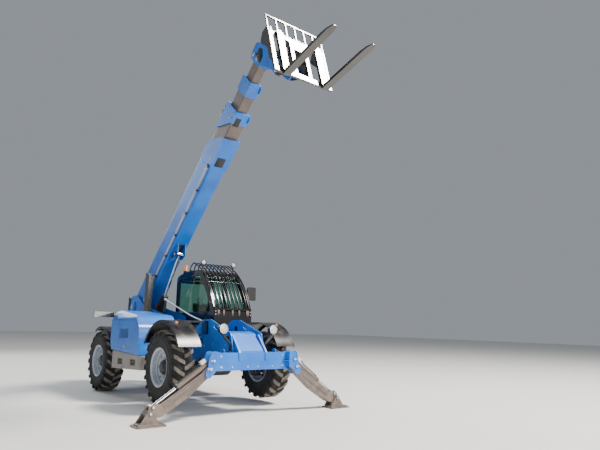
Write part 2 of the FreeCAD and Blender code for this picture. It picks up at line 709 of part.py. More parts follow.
def door_glass_solid():
    g = seat_gap
    return prism_x([(960 + g, 1560 + g), (960 + g, 1640), (1120 + g, 2000 - g / 2),
                    (1420 + g / 2, 2380 - g), (1740 - g, 2380 - g), (1740 - g, 1560 + g)],
                   cab_out - 30, cab_out - 24, [40, 90, 300, 60, 50, 50])


def glass_solid():
    t = 6.0
    panes = []
    panes.append(prism_x([(cab_front + 40, 1700 + 1), (1296, 2441), (1296 + t, 2441 - t),
                          (cab_front + 40 + t, 1700)], cab_in + 56, cab_out - 56))
    panes.append(box(cab_in + 111, cab_out - 111, 1441, 2059, 2505, 2511))
    panes.append(box(cab_in + 81, cab_out - 81, cab_rear - 30, cab_rear - 24, 1561, 2329))
    win = [(871, 1641), (1041, 2009), (1371, 2429), (2339, 2399), (2339, 1641)]
    panes.append(prism_x(win, cab_in + 18, cab_in + 24, [60, 200, 80, 80, 60]))
    rear = cab_rear - 111
    quarter = [(1881, 1561), (1881, 2399), (rear, 2369), (rear, 1561)]
    panes.append(prism_x(quarter, cab_out - 30, cab_out - 24, 60))
    shell = cab_solid()
    return Part.makeCompound([p.cut(shell) for p in panes])


def arc_strip(a, b, c, thick, x0, x1):
    """A bent bar of even thickness whose outer line is an arc through (y, z) points."""
    outer = Part.Arc(V(x0, a[0], a[1]), V(x0, b[0], b[1]), V(x0, c[0], c[1])).toShape()
    centre = outer.Curve.Center
    share = 1 - thick / outer.Curve.Radius
    ends = [centre + (V(x0, p[0], p[1]) - centre) * share for p in (a, b, c)]
    inner = Part.Arc(ends[0], ends[1], ends[2]).toShape()
    edges = [outer, Part.makeLine(V(x0, c[0], c[1]), ends[2]), inner,
             Part.makeLine(ends[0], V(x0, a[0], a[1]))]
    wire = Part.Wire(Part.__sortEdges__(edges))
    return Part.Face(wire).extrude(V(x1 - x0, 0, 0))


# outer line of the guard: up the windscreen, then over the roof's front
GUARD_RISE = ((712.0, 1700.0), (1040.0, 2275.0), (1700.0, 2735.0))
GUARD_OVER = ((1690.0, 2731.0), (1835.0, 2690.0), (1900.0, 2566.0))
guard_bar = 27.0
guard_bars = 10


def guard_solid():
    """Bars over windscreen and roof, tied by cross bars that stand on the cab."""
    parts = []
    first, last = cab_in + 25, cab_out - 25
    for k in range(guard_bars):
        x = first + (last - first) * k / (guard_bars - 1)
        parts.append(arc_strip(*GUARD_RISE, guard_bar, x - 7, x + 7))
        parts.append(arc_strip(*GUARD_OVER, guard_bar, x - 7, x + 7))
    x0, x1 = cab_in + 8, cab_out - 8
    low_y, low_z = GUARD_RISE[0]
    mid_y, mid_z = GUARD_RISE[1]
    top_y, top_z = GUARD_OVER[2]
    parts.append(box(x0, x1, low_y - 4, low_y + 30, low_z - 26, low_z + 6))
    parts.append(rod(V(x0, mid_y + 12, mid_z - 10), V(x1, mid_y + 12, mid_z - 10), 13))
    parts.append(box(x0, x1, top_y - 26, top_y + 6, 2530, top_z + 8))
    for x in (cab_in + 30, cab_out - 30):
        parts.append(box(x - 18, x + 18, low_y - 2, cab_front - seat_gap, 1560, low_z - 10))
    return fuse(parts).cut(prism_x(cab_profile(-seat_gap), cab_in, cab_out, CAB_RADII))


def seat_solid():
    xc = (cab_in + cab_out) / 2
    z = cab_floor + cab_wall + seat_gap
    base = box(xc - 190, xc + 190, 1560, 1980, z, z + 330)
    cushion = prism_x([(1500, z + 330), (1490, z + 430), (1560, z + 460), (1960, z + 440),
                       (2010, z + 400), (2010, z + 330)], xc - 250, xc + 250, 40)
    back = prism_x([(1900, z + 420), (2010, z + 400), (2140, z + 1000), (2110, z + 1090),
                    (2030, z + 1060)], xc - 235, xc + 235, 35)
    return fuse([base, cushion, back])


def dash_solid():
    z = cab_floor + cab_wall + seat_gap
    xc = (cab_in + cab_out) / 2
    y0 = cab_front + cab_wall + 30
    pod = prism_x([(y0 + 120, z), (y0 + 60, 1300), (y0 + 60, 1560), (y0 + 260, 1600),
                   (y0 + 300, 1500), (y0 + 200, 1250), (y0 + 260, z)], cab_in + 125, cab_out - 90,
                  [0, 60, 60, 40, 40, 60, 0])
    column = rod(V(xc, y0 + 200, 1480), V(xc, y0 + 420, 1690), 34)
    return fuse([pod, column])


def steering_wheel_solid():
    xc = (cab_in + cab_out) / 2
    y0 = cab_front + cab_wall + 30
    hub = V(xc, y0 + 420, 1690)
    d = V(0, 220, 210)
    d = d * (1.0 / d.Length)
    ring = Part.makeTorus(185, 15, hub + d * (22 + seat_gap), d)
    boss = Part.makeCylinder(48, 34, hub + d * seat_gap, d)
    side = V(1, 0, 0)
    updir = d.cross(side)
    parts = [ring, boss]
    c = hub + d * (22 + seat_gap)
    for a in (90, 210, 330):
        q = side * math.cos(lies(a)) + updir * math.sin(lies(a))
        parts.append(rod(c, c + q * 184, 11))
    return fuse(parts)


def tank_solid():
    """Fuel tank and steps under the cab door."""
    x0, x1 = rail_x + rail_t + seat_gap, cab_out - 20
    body = prism_y([(x0, 560), (x0, 740), (x1 - 40, 740), (x1 - 40, 620), (x1 - 110, 560)],
                   1250, 2330, [0, 20, 20, 60, 30])
    step = fuse([box(x1 - 60, x1 + 20, 950, 1240, 560, 585),
                 box(x1 - 60, x1 + 20, 950, 975, 560, 740),
                 box(x1 - 60, x1 + 20, 1226, 1262, 560, 740)])
    return fuse([body, step, box(x0, x1, 950, 2330, 738, cab_floor - seat_gap)])


# boom

def section_box(w, h, u0, u1, mid=boom_mid):
    return box(-w / 2, w / 2, -u1, -u0, mid - h / 2, mid + h / 2)


def tube_section(row):
    w, h = row["w"], row["h"]
    s = section_box(w, h, row["rear"], row["front"])
    corner = 26.0
    edges = [e for e in s.Edges if abs(e.Length - (row["front"] - row["rear"])) < 1]
    s = s.makeFillet(corner, edges)
    i = section_box(w - 2 * wall, h - 2 * wall, row["rear"] - 5, row["front"] + 5)
    edges = [e for e in i.Edges if abs(e.Length - (row["front"] - row["rear"] + 10)) < 1]
    return s.cut(i.makeFillet(corner - wall, edges))


def slide_pads(outer_row, inner_row, u0, u1, on_inner):
    """Blocks that fill the space between two sections near one end."""
    wi, hi = outer_row["w"] - 2 * wall, outer_row["h"] - 2 * wall
    wo, ho = inner_row["w"], inner_row["h"]
    pads = []
    a, b = (seat_gap, pad_fit) if on_inner else (pad_fit, 0.0)
    for s in (1, -1):
        x0, x1 = sorted((s * (wo / 2 + a), s * (wi / 2 - b)))
        pads.append(box(x0, x1, -u1, -u0, boom_mid - ho * 0.3, boom_mid + ho * 0.3))
        z0, z1 = sorted((boom_mid + s * (ho / 2 + a), boom_mid + s * (hi / 2 - b)))
        pads.append(box(-wo * 0.32, wo * 0.32, -u1, -u0, z0, z1))
    return pads


def collar_ring(w, h, hole_w, hole_h, pts):
    """A collar whose side outline is given in (u, v); hollow for its tube."""
    s = prism_x([(-u, v) for u, v in pts], -w / 2, w / 2)
    hole = box(-hole_w / 2, hole_w / 2, -9000, 2000, boom_mid - hole_h / 2, boom_mid + hole_h / 2)
    return s.cut(hole)


def main_ring_line(grow):
    """Side outline of the main section's collar in (u, v), slanted at its front."""
    row = SECTIONS[0]
    top, bot = boom_mid + row["h"] / 2 + grow, boom_mid - row["h"] / 2 - grow
    u = row["front"]
    return [(u - 330, bot), (u - 330, top), (u, top), (u + collar_mid, boom_mid - 60),
            (u + collar_low, bot + 78), (u + collar_low, bot)]


def boom_main_solid():
    row, nxt = SECTIONS[0], SECTIONS[1]
    w, h = row["w"], row["h"]
    top, bot = boom_mid + h / 2, boom_mid - h / 2
    u = row["front"]
    g = collar_grow
    line = main_ring_line(g)
    ring = collar_ring(w + 2 * g, h + 2 * g, w - 4, h - 4, line)
    front_line = [(u - 10, bot - g), (u - 10, top + g)] + line[2:]
    lower = collar_ring(w + 2 * g, h + 2 * g, nxt["w"] + 44, nxt["h"] + 100, front_line)
    parts = [tube_section(row), ring.cut(box(-w, w, -u - 600, -u, -900, 900)), lower]
    parts += slide_pads(row, nxt, u - 400, u - 60, False)
    # lift lug below: two plates with a pin stub on each, open between them
    lug = [(lift_u - 350, bot + 4), (lift_u - 75, lift_v - 62), (lift_u + 75, lift_v - 62),
           (lift_u + 250, bot + 4)]
    for s in (1, -1):
        x0, x1 = sorted((s * lug_in, s * (lug_in + lug_t)))
        parts.append(prism_x([(-a, b) for a, b in lug], x0, x1, [0, 60, 60, 0]))
        parts.append(rod(V(s * lug_in, -lift_u, lift_v), V(s * (lug_in + lug_t + 14), -lift_u,
                                                          lift_v), 34))
    parts.append(section_box(w - 4, h - 4, row["rear"], row["rear"] + 12).cut(
        rod(V(0, -row["rear"] - 60, boom_mid), V(0, 500, boom_mid), 60)))
    parts.append(tube(V(-tower_x + 6, 0, 0), V(tower_x - 6, 0, 0), 92, 50 + run_gap))
    # pinned lug on the back of the collar
    lug_v = top + g - 4
    parts.append(prism_x([(-u + 260, lug_v), (-u + 250, top + 96), (-u + 90, top + 96),
                          (-u + 60, lug_v)], -60, 60, [0, 30, 30, 0]))
    s = fuse(parts)
    # room for the lift rod's eye between the lug plates
    slot = box(-lug_in, lug_in, -lift_u - 185, -lift_u + 210, bot - 5, bot + wall + 5)
    s = s.cut(slot)
    return s.cut(rod(V(-tower_x, 0, 0), V(tower_x, 0, 0), 50 + run_gap))


def boom_tube_solid(i):
    """One section's tube, with the loose slide pads seated on its rear end."""
    row = SECTIONS[i]
    parts = [tube_section(row)]
    if i < 3:
        parts += slide_pads(row, SECTIONS[i + 1], row["front"] - 360, row["front"] - 40, False)
    rear_pads = slide_pads(SECTIONS[i - 1], row, row["rear"] + 20, row["rear"] + 300, True)
    return Part.makeCompound([fuse(parts)] + rear_pads)


def boom_collar_solid(i):
    row = SECTIONS[i]
    w, h = row["w"], row["h"]
    top, bot = boom_mid + h / 2, boom_mid - h / 2
    u1 = row["front"] + 12
    g = 22.0 if i == 1 else 16.0
    if i == 1:
        # the rear edge repeats the slant of the main collar, a stage further out
        out = stage_out + 8
        main = main_ring_line(collar_grow)
        slope = (main[3][0] - main[2][0]) / (main[2][1] - main[3][1])
        um = main[2][0] + out
        pts = [(um + slope * (main[2][1] - (top + g)), top + g), (u1, top + g), (u1, bot - g),
               (main[4][0] + out, bot - g), (main[4][0] + out, main[4][1]),
               (main[3][0] + out, main[3][1])]
    else:
        um = SECTIONS[i - 1]["front"] + 12 + stage_out + 8
        pts = [(um, top + g), (u1, top + g), (u1, bot - g), (um, bot - g)]
    ring = collar_ring(w + 2 * g, h + 2 * g, w + 2 * seat_gap, h + 2 * seat_gap, pts)
    lip = collar_ring(w + 2 * g, h + 2 * g, SECTIONS[i + 1]["w"] + 16, SECTIONS[i + 1]["h"] + 16,
                      [(row["front"] + seat_gap, top + g), (u1, top + g), (u1, bot - g),
                       (row["front"] + seat_gap, bot - g)])
    parts = [ring, lip]
    for s in (1, -1):
        parts.append(box(s * (w / 2 + g - 4) - 10, s * (w / 2 + g - 4) + 10, -u1 + 30, -u1 + 150,
                         bot - g - 40, bot + 20))
    return fuse(parts)


def head_solid():
    """Drop head on the inner section: two cheeks joined by wrap plates."""
    row = SECTIONS[3]
    w = row["w"]
    top, bot = boom_mid + row["h"] / 2, boom_mid - row["h"] / 2
    u0 = head_start
    pu, pv = head_pin_u, head_pin_v
    front = [(u0 + 375, 60), (u0 + 390, -140), (u0 + 390, -330)]
    back = [(pu - 100, pv + 87), (pu - 95, pv + 377), (u0 + 60, -290), (u0, bot - 19)]
    cheek = [(u0, top + 16), (u0 + 20, 190), (u0 + 110, 240), (u0 + 310, 250)] + front
    cheek += [(u0 + 390, -400), (pu + 125, pv + 247), (pu + 105, pv + 67), (pu + 85, pv - 63),
              (pu, pv - 103), (pu - 85, pv - 53)] + back
    rad = [10, 60, 60, 60, 90, 120, 0, 120, 120, 120, 60, 90, 60, 120, 200, 120, 10]
    c0, c1 = w / 2 + seat_gap, w / 2 + seat_gap + 16
    parts = []
    for s in (1, -1):
        x0, x1 = sorted((s * c0, s * c1))
        c = prism_x([(-a, b) for a, b in cheek], x0, x1, rad)
        parts.append(c.cut(rod(V(x0 - 5, -pu, pv), V(x1 + 5, -pu, pv), head_pin_r + run_gap)))
        parts.append(tube(V(s * (c0 + 4), -pu, pv), V(s * (c1 + 28), -pu, pv), 72,
                          head_pin_r + run_gap))
    half = w / 2 + 8
    seat_end = row["front"] + 5
    parts.append(box(-half, half, -seat_end, -u0, top + seat_gap, top + 16))
    parts.append(box(-half, half, -seat_end, -u0, bot - 16, bot - seat_gap))
    parts.append(box(-half, half, -u0 - 300, -u0 - 130, 226, 242))
    t = 14.0
    parts.append(prism_x([(-a, b) for a, b in front] + [(-a + t, b) for a, b in front[::-1]],
                         -half, half))
    parts.append(prism_x([(-a, b) for a, b in back[1:]] +
                         [(-a - t, b + 4) for a, b in back[:0:-1]], -half, half))
    # pin of the tilt cylinder across the cheeks
    parts.append(rod(V(-c1 - 12, -tilt_base_u, tilt_base_v), V(c1 + 12, -tilt_base_u, tilt_base_v),
                     24))
    return fuse(parts)


def carriage_solid():
    """Fork carriage with hitch plates and backrest, drawn about its pin."""
    zh = -pin_above_heel
    yh = -pin_behind_heel
    # frame bars just behind the fork shanks
    y1 = yh + fork_t + seat_gap
    upright_top = zh + 900
    parts = []
    for z0, z1 in ((zh + 60, zh + 160), (zh + 820, zh + 900)):
        parts.append(box(-rack_half, rack_half, y1, y1 + 45, z0, z1))
    side = [(yh + a, zh + b) for a, b in ((fork_t + seat_gap, 60), (87, 203), (206, 423), (209, 662),
                                          (301, 781), (364, 901), (270, 1045), (144, 1070),
                                          (fork_t + 8, 1000))]
    tube_y, tube_z = yh + 150, zh + 1010
    for s in (1, -1):
        x0, x1 = sorted((s * rack_half, s * (rack_half - 40)))
        parts.append(box(x0, x1, y1, y1 + 45, zh + 60, upright_top))
        x0, x1 = sorted((s * (hitch_in - 22), s * (hitch_in + 48)))
        parts.append(box(x0, x1, y1, y1 + 45, zh + 60, upright_top))
        # hitch plates reach back to the head pin
        x0, x1 = sorted((s * hitch_in, s * (hitch_in + hitch_t)))
        parts.append(prism_x([(y1, zh + 120), (y1, zh + 880), (y1 + 120, zh + 880), (-40, 110),
                              (70, 60), (86, -30), (30, -92), (-150, -200)],
                             x0, x1, [0, 0, 60, 90, 60, 60, 60, 90]))
        # outer plates carry the cross tube
        x0, x1 = sorted((s * side_in, s * (side_in + 25)))
        parts.append(prism_x(side, x0, x1, [0, 20, 60, 60, 60, 60, 60, 60, 20]))
        # lugs beside the tilt cylinder's eye, each with a pin stub
        x0, x1 = sorted((s * tilt_lug_in, s * (tilt_lug_in + 18)))
        ty, tz = tilt_eye_y, tilt_eye_z
        parts.append(prism_x([(y1 + 40, tz - 110), (y1 + 40, tz + 90), (ty - 60, tz + 60),
                              (ty + 50, tz + 44), (ty + 50, tz - 44), (ty - 60, tz - 60)],
                             x0, x1, [0, 0, 60, 42, 42, 60]))
        parts.append(rod(V(s * tilt_lug_in, ty, tz), V(s * (tilt_lug_in + 25), ty, tz), 24))
    # plate that ties the lugs to the uprights
    parts.append(box(-hitch_in, hitch_in, y1, y1 + 45, tilt_eye_z - 130, upright_top))
    parts.append(rod(V(-side_in - 4, tube_y, tube_z), V(side_in + 4, tube_y, tube_z), 34))
    # backrest grid
    z0, z1 = upright_top, zh + rack_top
    parts.append(box(-rack_half, rack_half, y1 + 8, y1 + 33, z1 - 26, z1))
    for k in range(rack_bars):
        x = -rack_half + 10 + (2 * rack_half - 20) * k / (rack_bars - 1)
        parts.append(box(x - 10, x + 10, y1 + 8, y1 + 33, z0 - 10, z1 - 5))
    pin_end = hitch_in + hitch_t
    parts.append(rod(V(-pin_end, 0, 0), V(pin_end, 0, 0), head_pin_r))
    return fuse(parts)


def fork_solids():
    zh = -pin_above_heel
    yf = -pin_behind_heel
    out = []
    for s in (1, -1):
        x0, x1 = s * fork_x - fork_w / 2, s * fork_x + fork_w / 2
        prof = [(yf + fork_t, zh), (yf + fork_t, zh + 900), (yf, zh + 900), (yf, zh + fork_t),
                (yf - fork_len + 300, zh + fork_t), (yf - fork_len + fork_t, zh + 16),
                (yf - fork_len + fork_t, zh)]
        f = prism_x(prof, x0, x1, [30, 6, 6, 20, 200, 4, 4])
        hook = box(x0 + 20, x1 - 20, yf + 10, yf + fork_t + 62, zh + 904, zh + 936)
        hook = fuse([hook, box(x0 + 20, x1 - 20, yf + fork_t + 50, yf + fork_t + 62, zh + 860,
                               zh + 936), box(x0 + 20, x1 - 20, yf + 10, yf + fork_t, zh + 880,
                                              zh + 936)])
        tip = [(x0, yf + 80), (x0, yf - fork_len + fork_t + 110), (x0 + 30, yf - fork_len + fork_t),
               (x1 - 30, yf - fork_len + fork_t), (x1, yf - fork_len + fork_t + 110), (x1, yf + 80)]
        trim = prism_z(tip, zh - 10, zh + 1000, [0, 40, 30, 30, 40, 0])
        notch_x = s * (rack_half - 10 - (2 * rack_half - 20) / (rack_bars - 1))
        hook = hook.cut(box(notch_x - 14, notch_x + 14, yf + fork_t, yf + 200, zh + 850, zh + 950))
        out.append(fuse([f.common(trim), hook]))
    return Part.makeCompound(out)


# cylinders

def jack_parts(p, q, r, reach, inside, eye_p, eye_q, pin_axis, wide_p, wide_q):
    """Barrel turning on pin p, and its rod, whose eye at q is filled by its own bush.

    reach is how far the barrel goes from p, inside is where the rod starts."""
    d = q - p
    e = d * (1.0 / d.Length)
    half = pin_axis * (wide_p / 2)
    end = p + e * reach
    piston_r = r * 0.54
    barrel = fuse([rod(p - half, p + half, eye_p + 24), rod(p + e * (eye_p + 8), end, r),
                   rod(end - e * 60, end, r + 3)])
    bore = rod(p + e * (eye_p + 40), end + e * 5, piston_r + run_gap)
    barrel = barrel.cut(bore).cut(rod(p - half * 2, p + half * 2, eye_p + run_gap))
    half = pin_axis * (wide_q / 2)
    rod_part = fuse([rod(p + e * inside, q - e * (eye_q * 0.6), piston_r),
                     rod(q - half, q + half, eye_q)])
    return barrel, rod_part


def lift_cylinder():
    y, z = boom_point(lift_u, lift_v)
    pin = 36.0
    return jack_parts(V(0, lift_base_y, lift_base_z), V(0, y, z), lift_r, lift_reach,
                      pin + 40 + lift_travel, pin, lift_eye_r, XAX, 150, 140)


def tilt_cylinder():
    y, z = boom_point(tilt_base_u, tilt_base_v)
    cy, cz = head_pin_world()
    c, s = math.cos(lies(fork_deg)), math.sin(lies(fork_deg))
    ey = cy + tilt_eye_y * c + tilt_eye_z * s
    ez = cz - tilt_eye_y * s + tilt_eye_z * c
    pin = 24.0
    return jack_parts(V(0, y, z), V(0, ey, ez), tilt_r, tilt_reach, pin + 40 + tilt_travel, pin,
                      40, XAX, 110, 110)


def head_pin_world():
    return boom_point(head_pin_u, head_pin_v)


def foot_pivot():
    """Pad pivot on the level chassis, from its height above true ground."""
    a = lies(nose_up_deg)
    dy = leg_y - wheelbase
    return tyre_r + (foot_h - tyre_r + dy * math.sin(a)) / math.cos(a)


def leg_solid():
    """One stabiliser leg from its pin down to the foot, with a trough for its cylinder."""
    p = V(leg_pin_x, leg_y, leg_pin_z)
    q = V(foot_x, leg_y, foot_pivot())
    ln = (q - p).Length
    e = (q - p) * (1.0 / ln)
    n = V(-e.z, 0, e.x)

    def at(a, b):
        w = p + e * a + n * b
        return (w.x, w.z)
    y0, y1 = leg_y - leg_w / 2, leg_y + leg_w / 2
    eye = ln - jack_eye_back
    outline = [at(-62, -40), at(-62, 45), at(40, 60), at(160, 30), at(eye - 115, 24),
               at(eye - 40, 86), at(eye + 40, 86), at(ln + 52, 20), at(ln + 52, -40),
               at(ln, -62), at(ln - 90, -130), at(ln - 150, -144), at(500, -152), at(206, -108),
               at(0, -80)]
    body = prism_y(outline, y0, y1, [40, 40, 40, 60, 40, 34, 34, 50, 36, 40, 30, 60, 150, 120,
                                     50])
    trough = prism_y([at(-120, -30), at(-120, 160), at(ln - 6, 160), at(ln - 6, 0),
                      at(ln - 40, -30)], y0 + leg_plate, y1 - leg_plate, [0, 0, 0, 20, 30])
    body = body.cut(trough)
    body = body.cut(rod(V(p.x, y0 - 5, p.z), V(p.x, y1 + 5, p.z), leg_pin_r + run_gap))
    body = body.cut(rod(V(q.x, y0 - 5, q.z), V(q.x, y1 + 5, q.z), foot_pin_r + run_gap))
    ex, ez = jack_eye()
    stubs = [rod(V(ex, y, ez), V(ex, y + leg_plate + 12, ez), 26)
             for y in (y0 - 12, y1 - leg_plate)]
    return fuse([body] + stubs)


def jack_eye():
    """Pin of the stabiliser cylinder on the leg, (x, z)."""
    dx, dz = foot_x - leg_pin_x, foot_pivot() - leg_pin_z
    ln = math.hypot(dx, dz)
    ex, ez = dx / ln, dz / ln
    a = ln - jack_eye_back
    return leg_pin_x + ex * a - ez * jack_eye_up, leg_pin_z + ez * a + ex * jack_eye_up


def leg_jack():
    ex, ez = jack_eye()
    p, q = V(jack_pin_x, leg_y, jack_pin_z), V(ex, leg_y, ez)
    return jack_parts(p, q, jack_r, (q - p).Length * jack_share, jack_pin_r + 40 + jack_travel,
                      jack_pin_r, 36, YAX, 84, 84)


def pad_solid():
    """Foot plate, level on the ground; drawn about its pin then tipped back."""
    half_y = leg_w / 2 + 6
    h = foot_h
    x1 = pad_len / 2
    y0, y1 = -pad_wid / 2 - sole_forward, pad_wid / 2 - sole_forward
    sole = prism_z([(-x1, y0), (-x1, y1), (x1, y1), (x1, y0)], -h, -h + 18, 40)
    rim = prism_z([(-x1 + 40, y0 + 40), (-x1 + 40, y1 - 25), (x1 - 40, y1 - 25),
                   (x1 - 40, y0 + 40)], -h + 10, -h + 34, 20)
    parts = [turn(fuse([sole, rim]), V(0, 0, 0), XAX, nose_up_deg)]
    for s in (1, -1):
        a, b = sorted((s * half_y, s * (half_y + 20)))
        parts.append(prism_y([(-150, -h + 24), (-62, -10), (0, 75), (62, -10), (150, -h + 24)],
                             a, b, [0, 60, 46, 60, 0]))
    parts.append(rod(V(0, -half_y - 34, 0), V(0, half_y + 30, 0), foot_pin_r))
    return move(fuse(parts), foot_x, leg_y, foot_pivot())


# small fittings

def headlamps_solid():
    out = []
    for s in (1, -1):
        x = s * 510
        lamp = rod(V(x, -960, 1270), V(x, -880, 1270), 74)
        lamp = fuse([lamp, rod(V(x, -966, 1270), V(x, -956, 1270), 80).cut(
            rod(V(x, -970, 1270), V(x, -950, 1270), 66)),
            rod(V(x, -890, 1270), V(x, -850, 1270), 46)])
        arm = fuse([rod(V(x, -865, 1270), V(x, -865, 1190), 13),
                    rod(V(x, -865, 1195), V(s * (rail_x + rail_t + 4), -790, 1110), 13)])
        foot = box(min(s * (rail_x + rail_t + seat_gap), s * (rail_x + rail_t + 14)),
                   max(s * (rail_x + rail_t + seat_gap), s * (rail_x + rail_t + 14)),
                   -830, -750, 1070, 1150)
        a = fuse([lamp, arm, foot])
        a = a.cut(box(-(rail_x + rail_t + seat_gap), rail_x + rail_t + seat_gap, -1200, 0, 900, 1400))
        out.append(a)
    return Part.makeCompound(out)


def work_lamps_solid():
    out = []
    z = 2705.0
    for x in (cab_in + 72, cab_out - 72):
        lamp = rod(V(x, 1372, z), V(x, 1428, z), 50)
        foot = box(x - 12, x + 12, 1388, 1412, 2500, z - 30)
        out.append(fuse([lamp, foot]).cut(prism_x(cab_profile(-seat_gap), cab_in, cab_out,
                                                  CAB_RADII)))
    return Part.makeCompound(out)


def beacon_solid():
    x, y = cab_in + 145, cab_rear - 120
    base = rod(V(x, y, 2440), V(x, y, 2610), 50)
    lens = rod(V(x, y, 2610), V(x, y, 2740), 46)
    return fuse([base, lens]).cut(prism_x(cab_profile(-seat_gap), cab_in, cab_out, CAB_RADII))


def mirrors_solid():
    glass = prism_y([(1205, 1910), (1205, 2200), (1420, 2200), (1420, 1910)], 972, 1002, 30)
    arm = rod(V(1230, 990, 2125), V(cab_out - 20, 1080, 2125), 11)
    foot = box(cab_out - 30, cab_out + 10, 1045, 1095, 2090, 2160)
    left = fuse([glass, arm, foot])
    return left.cut(box(cab_in, cab_out + seat_gap, 500, 2500, 700, 2700))


def rear_mirror_solid():
    """Long low bar behind the engine lid, on an arm that drops to the frame."""
    y0 = bon_rear + 12
    yc = y0 + 23
    head = prism_y([(-1535, 1520), (-1535, 1630), (-1130, 1630), (-1130, 1520)], y0, y0 + 46, 18)
    groove = box(-1540, -1125, y0 - 2, y0 + 5, 1568, 1584)
    knob = rod(V(-1135, yc, 1562), V(-1090, yc, 1562), 20)
    frame_side = -(rail_x + rail_t + seat_gap)
    arm = [rod(V(-1100, yc, 1562), V(-430, yc, 1500), 14),
           rod(V(-430, yc, 1505), V(-400, yc + 10, 1180), 14),
           rod(V(-400, yc + 10, 1190), V(-345, yc + 125, 940), 14)]
    foot = box(frame_side - 30, frame_side, yc + 85, yc + 165, 880, 970)
    s = fuse([head.cut(groove), knob, foot] + arm)
    return s.cut(box(frame_side, 500, 2000, 3500, 700, 1700))


def hose_guard_solid():
    """Upright channel beside the tower that shields the boom's hoses."""
    x0, x1 = -365.0, -262.0
    y = wheelbase - 470
    guard = prism_x([(y, 1500), (y, 2480), (y + 180, 2550), (y + 180, 1500)], x0, x1, 14)
    hollow = prism_x([(y + 10, 1490), (y + 10, 2470), (y + 170, 2534), (y + 170, 1490)],
                     x0 + 10, x1 + 5)
    plate = -(tower_x + tower_t + seat_gap)
    return fuse([guard.cut(hollow), box(x0 + 4, plate, y + 4, y + 176, 1510, 1526),
                 box(x0 + 4, plate, y + 4, y + 176, 1610, 1626),
                 box(plate - 12, plate, y + 4, y + 176, 1505, 1630)])


# assembly

PIECES = []


def put(name, shape):
    PIECES.append((name, shape))


def build():
    put("chassis_frame", frame_solid())
    put("stabiliser_beam", beam_solid())
    put("counterweight", tail_solid())
    put("front_axle", axle_solid(0, -1))
    put("rear_axle", axle_solid(wheelbase, 1))
    put("mudguards", guards_solid())
    put("side_sill", sill_solid())
    put("engine_block", engine_solid())
    put("bonnet_rail", bonnet_hinge_solid())
    put("bonnet_lid", bonnet_solid())
    put("fuel_tank", tank_solid())
    put("cab_shell", cab_solid())
    put("cab_glass", glass_solid())
    put("cab_guard", guard_solid())
    put("cab_door", door_solid())
    put("cab_door_glass", door_glass_solid())
    put("seat", seat_solid())
    put("dash", dash_solid())
    put("steering_wheel", steering_wheel_solid())
    put("headlamps", headlamps_solid())
    put("work_lamps", work_lamps_solid())
    put("beacon", beacon_solid())
    put("mirror_left", mirrors_solid())
    put("mirror_rear", rear_mirror_solid())
    put("hose_guard", hose_guard_solid())
    tyre = tyre_solid()
    rim = rim_solid()
    knuckle = knuckle_solid()
    for tag, side, y in (("front_left", 1, 0.0), ("front_right", -1, 0.0),
                         ("rear_left", 1, wheelbase), ("rear_right", -1, wheelbase)):
        kn = knuckle if y == 0.0 else turn(knuckle, V(0, 0, 0), XAX, 180)
        put("knuckle_" + tag, wheel_at(kn, side, y))
        put("rim_" + tag, wheel_at(rim, side, y))
        put("tyre_" + tag, wheel_at(tyre, side, y))
    put("boom_main", boom_place(boom_main_solid()))
    put("boom_second", boom_place(boom_tube_solid(1)))
    put("boom_second_collar", boom_place(boom_collar_solid(1)))
    put("boom_third", boom_place(boom_tube_solid(2)))
    put("boom_third_collar", boom_place(boom_collar_solid(2)))
    put("boom_inner", boom_place(boom_tube_solid(3)))
    put("boom_head", boom_place(head_solid()))
    put("carriage", head_place(carriage_solid()))
    put("forks", head_place(fork_solids()))
    barrel, piston = lift_cylinder()
    put("lift_barrel", barrel)
    put("lift_rod", piston)
    barrel, piston = tilt_cylinder()
    put("tilt_barrel", barrel)
    put("tilt_rod", piston)
    leg = leg_solid()
    pad = pad_solid()
    barrel, piston = leg_jack()
    for tag, flip in (("left", False), ("right", True)):
        for name, shape in (("leg", leg), ("leg_barrel", barrel), ("leg_rod", piston),
                            ("pad", pad)):
            put(name + "_" + tag, mirror(shape) if flip else shape)


def pitched(shape):
    return turn(shape, V(0, wheelbase, tyre_r), XAX, -nose_up_deg)


def export():
    done = []
    lo, hi = 1e9, -1e9
    for name, shape in PIECES:
        s = pitched(shape)
        done.append((name, s))
        bb = s.BoundBox
        lo = min(lo, bb.YMin)
        hi = max(hi, bb.YMax)
    shift = -(lo + hi) / 2
    print("shift_y", round(shift, 3))
    os.makedirs("parts", exist_ok=True)
    for name, s in done:
        s.translate(V(0, shift, 0))
        s.exportStep("parts/%s.step" % name)
        bb = s.BoundBox
        print(name, s.isValid(), len(s.Solids), round(s.Volume / 1e9, 4),
              [round(v) for v in (bb.XMin, bb.XMax, bb.YMin, bb.YMax, bb.ZMin, bb.ZMax)])


build()
export()
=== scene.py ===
from math import cos, pi, radians, sin, tau

import bmesh
import bpy
from mathutils import Matrix, Vector


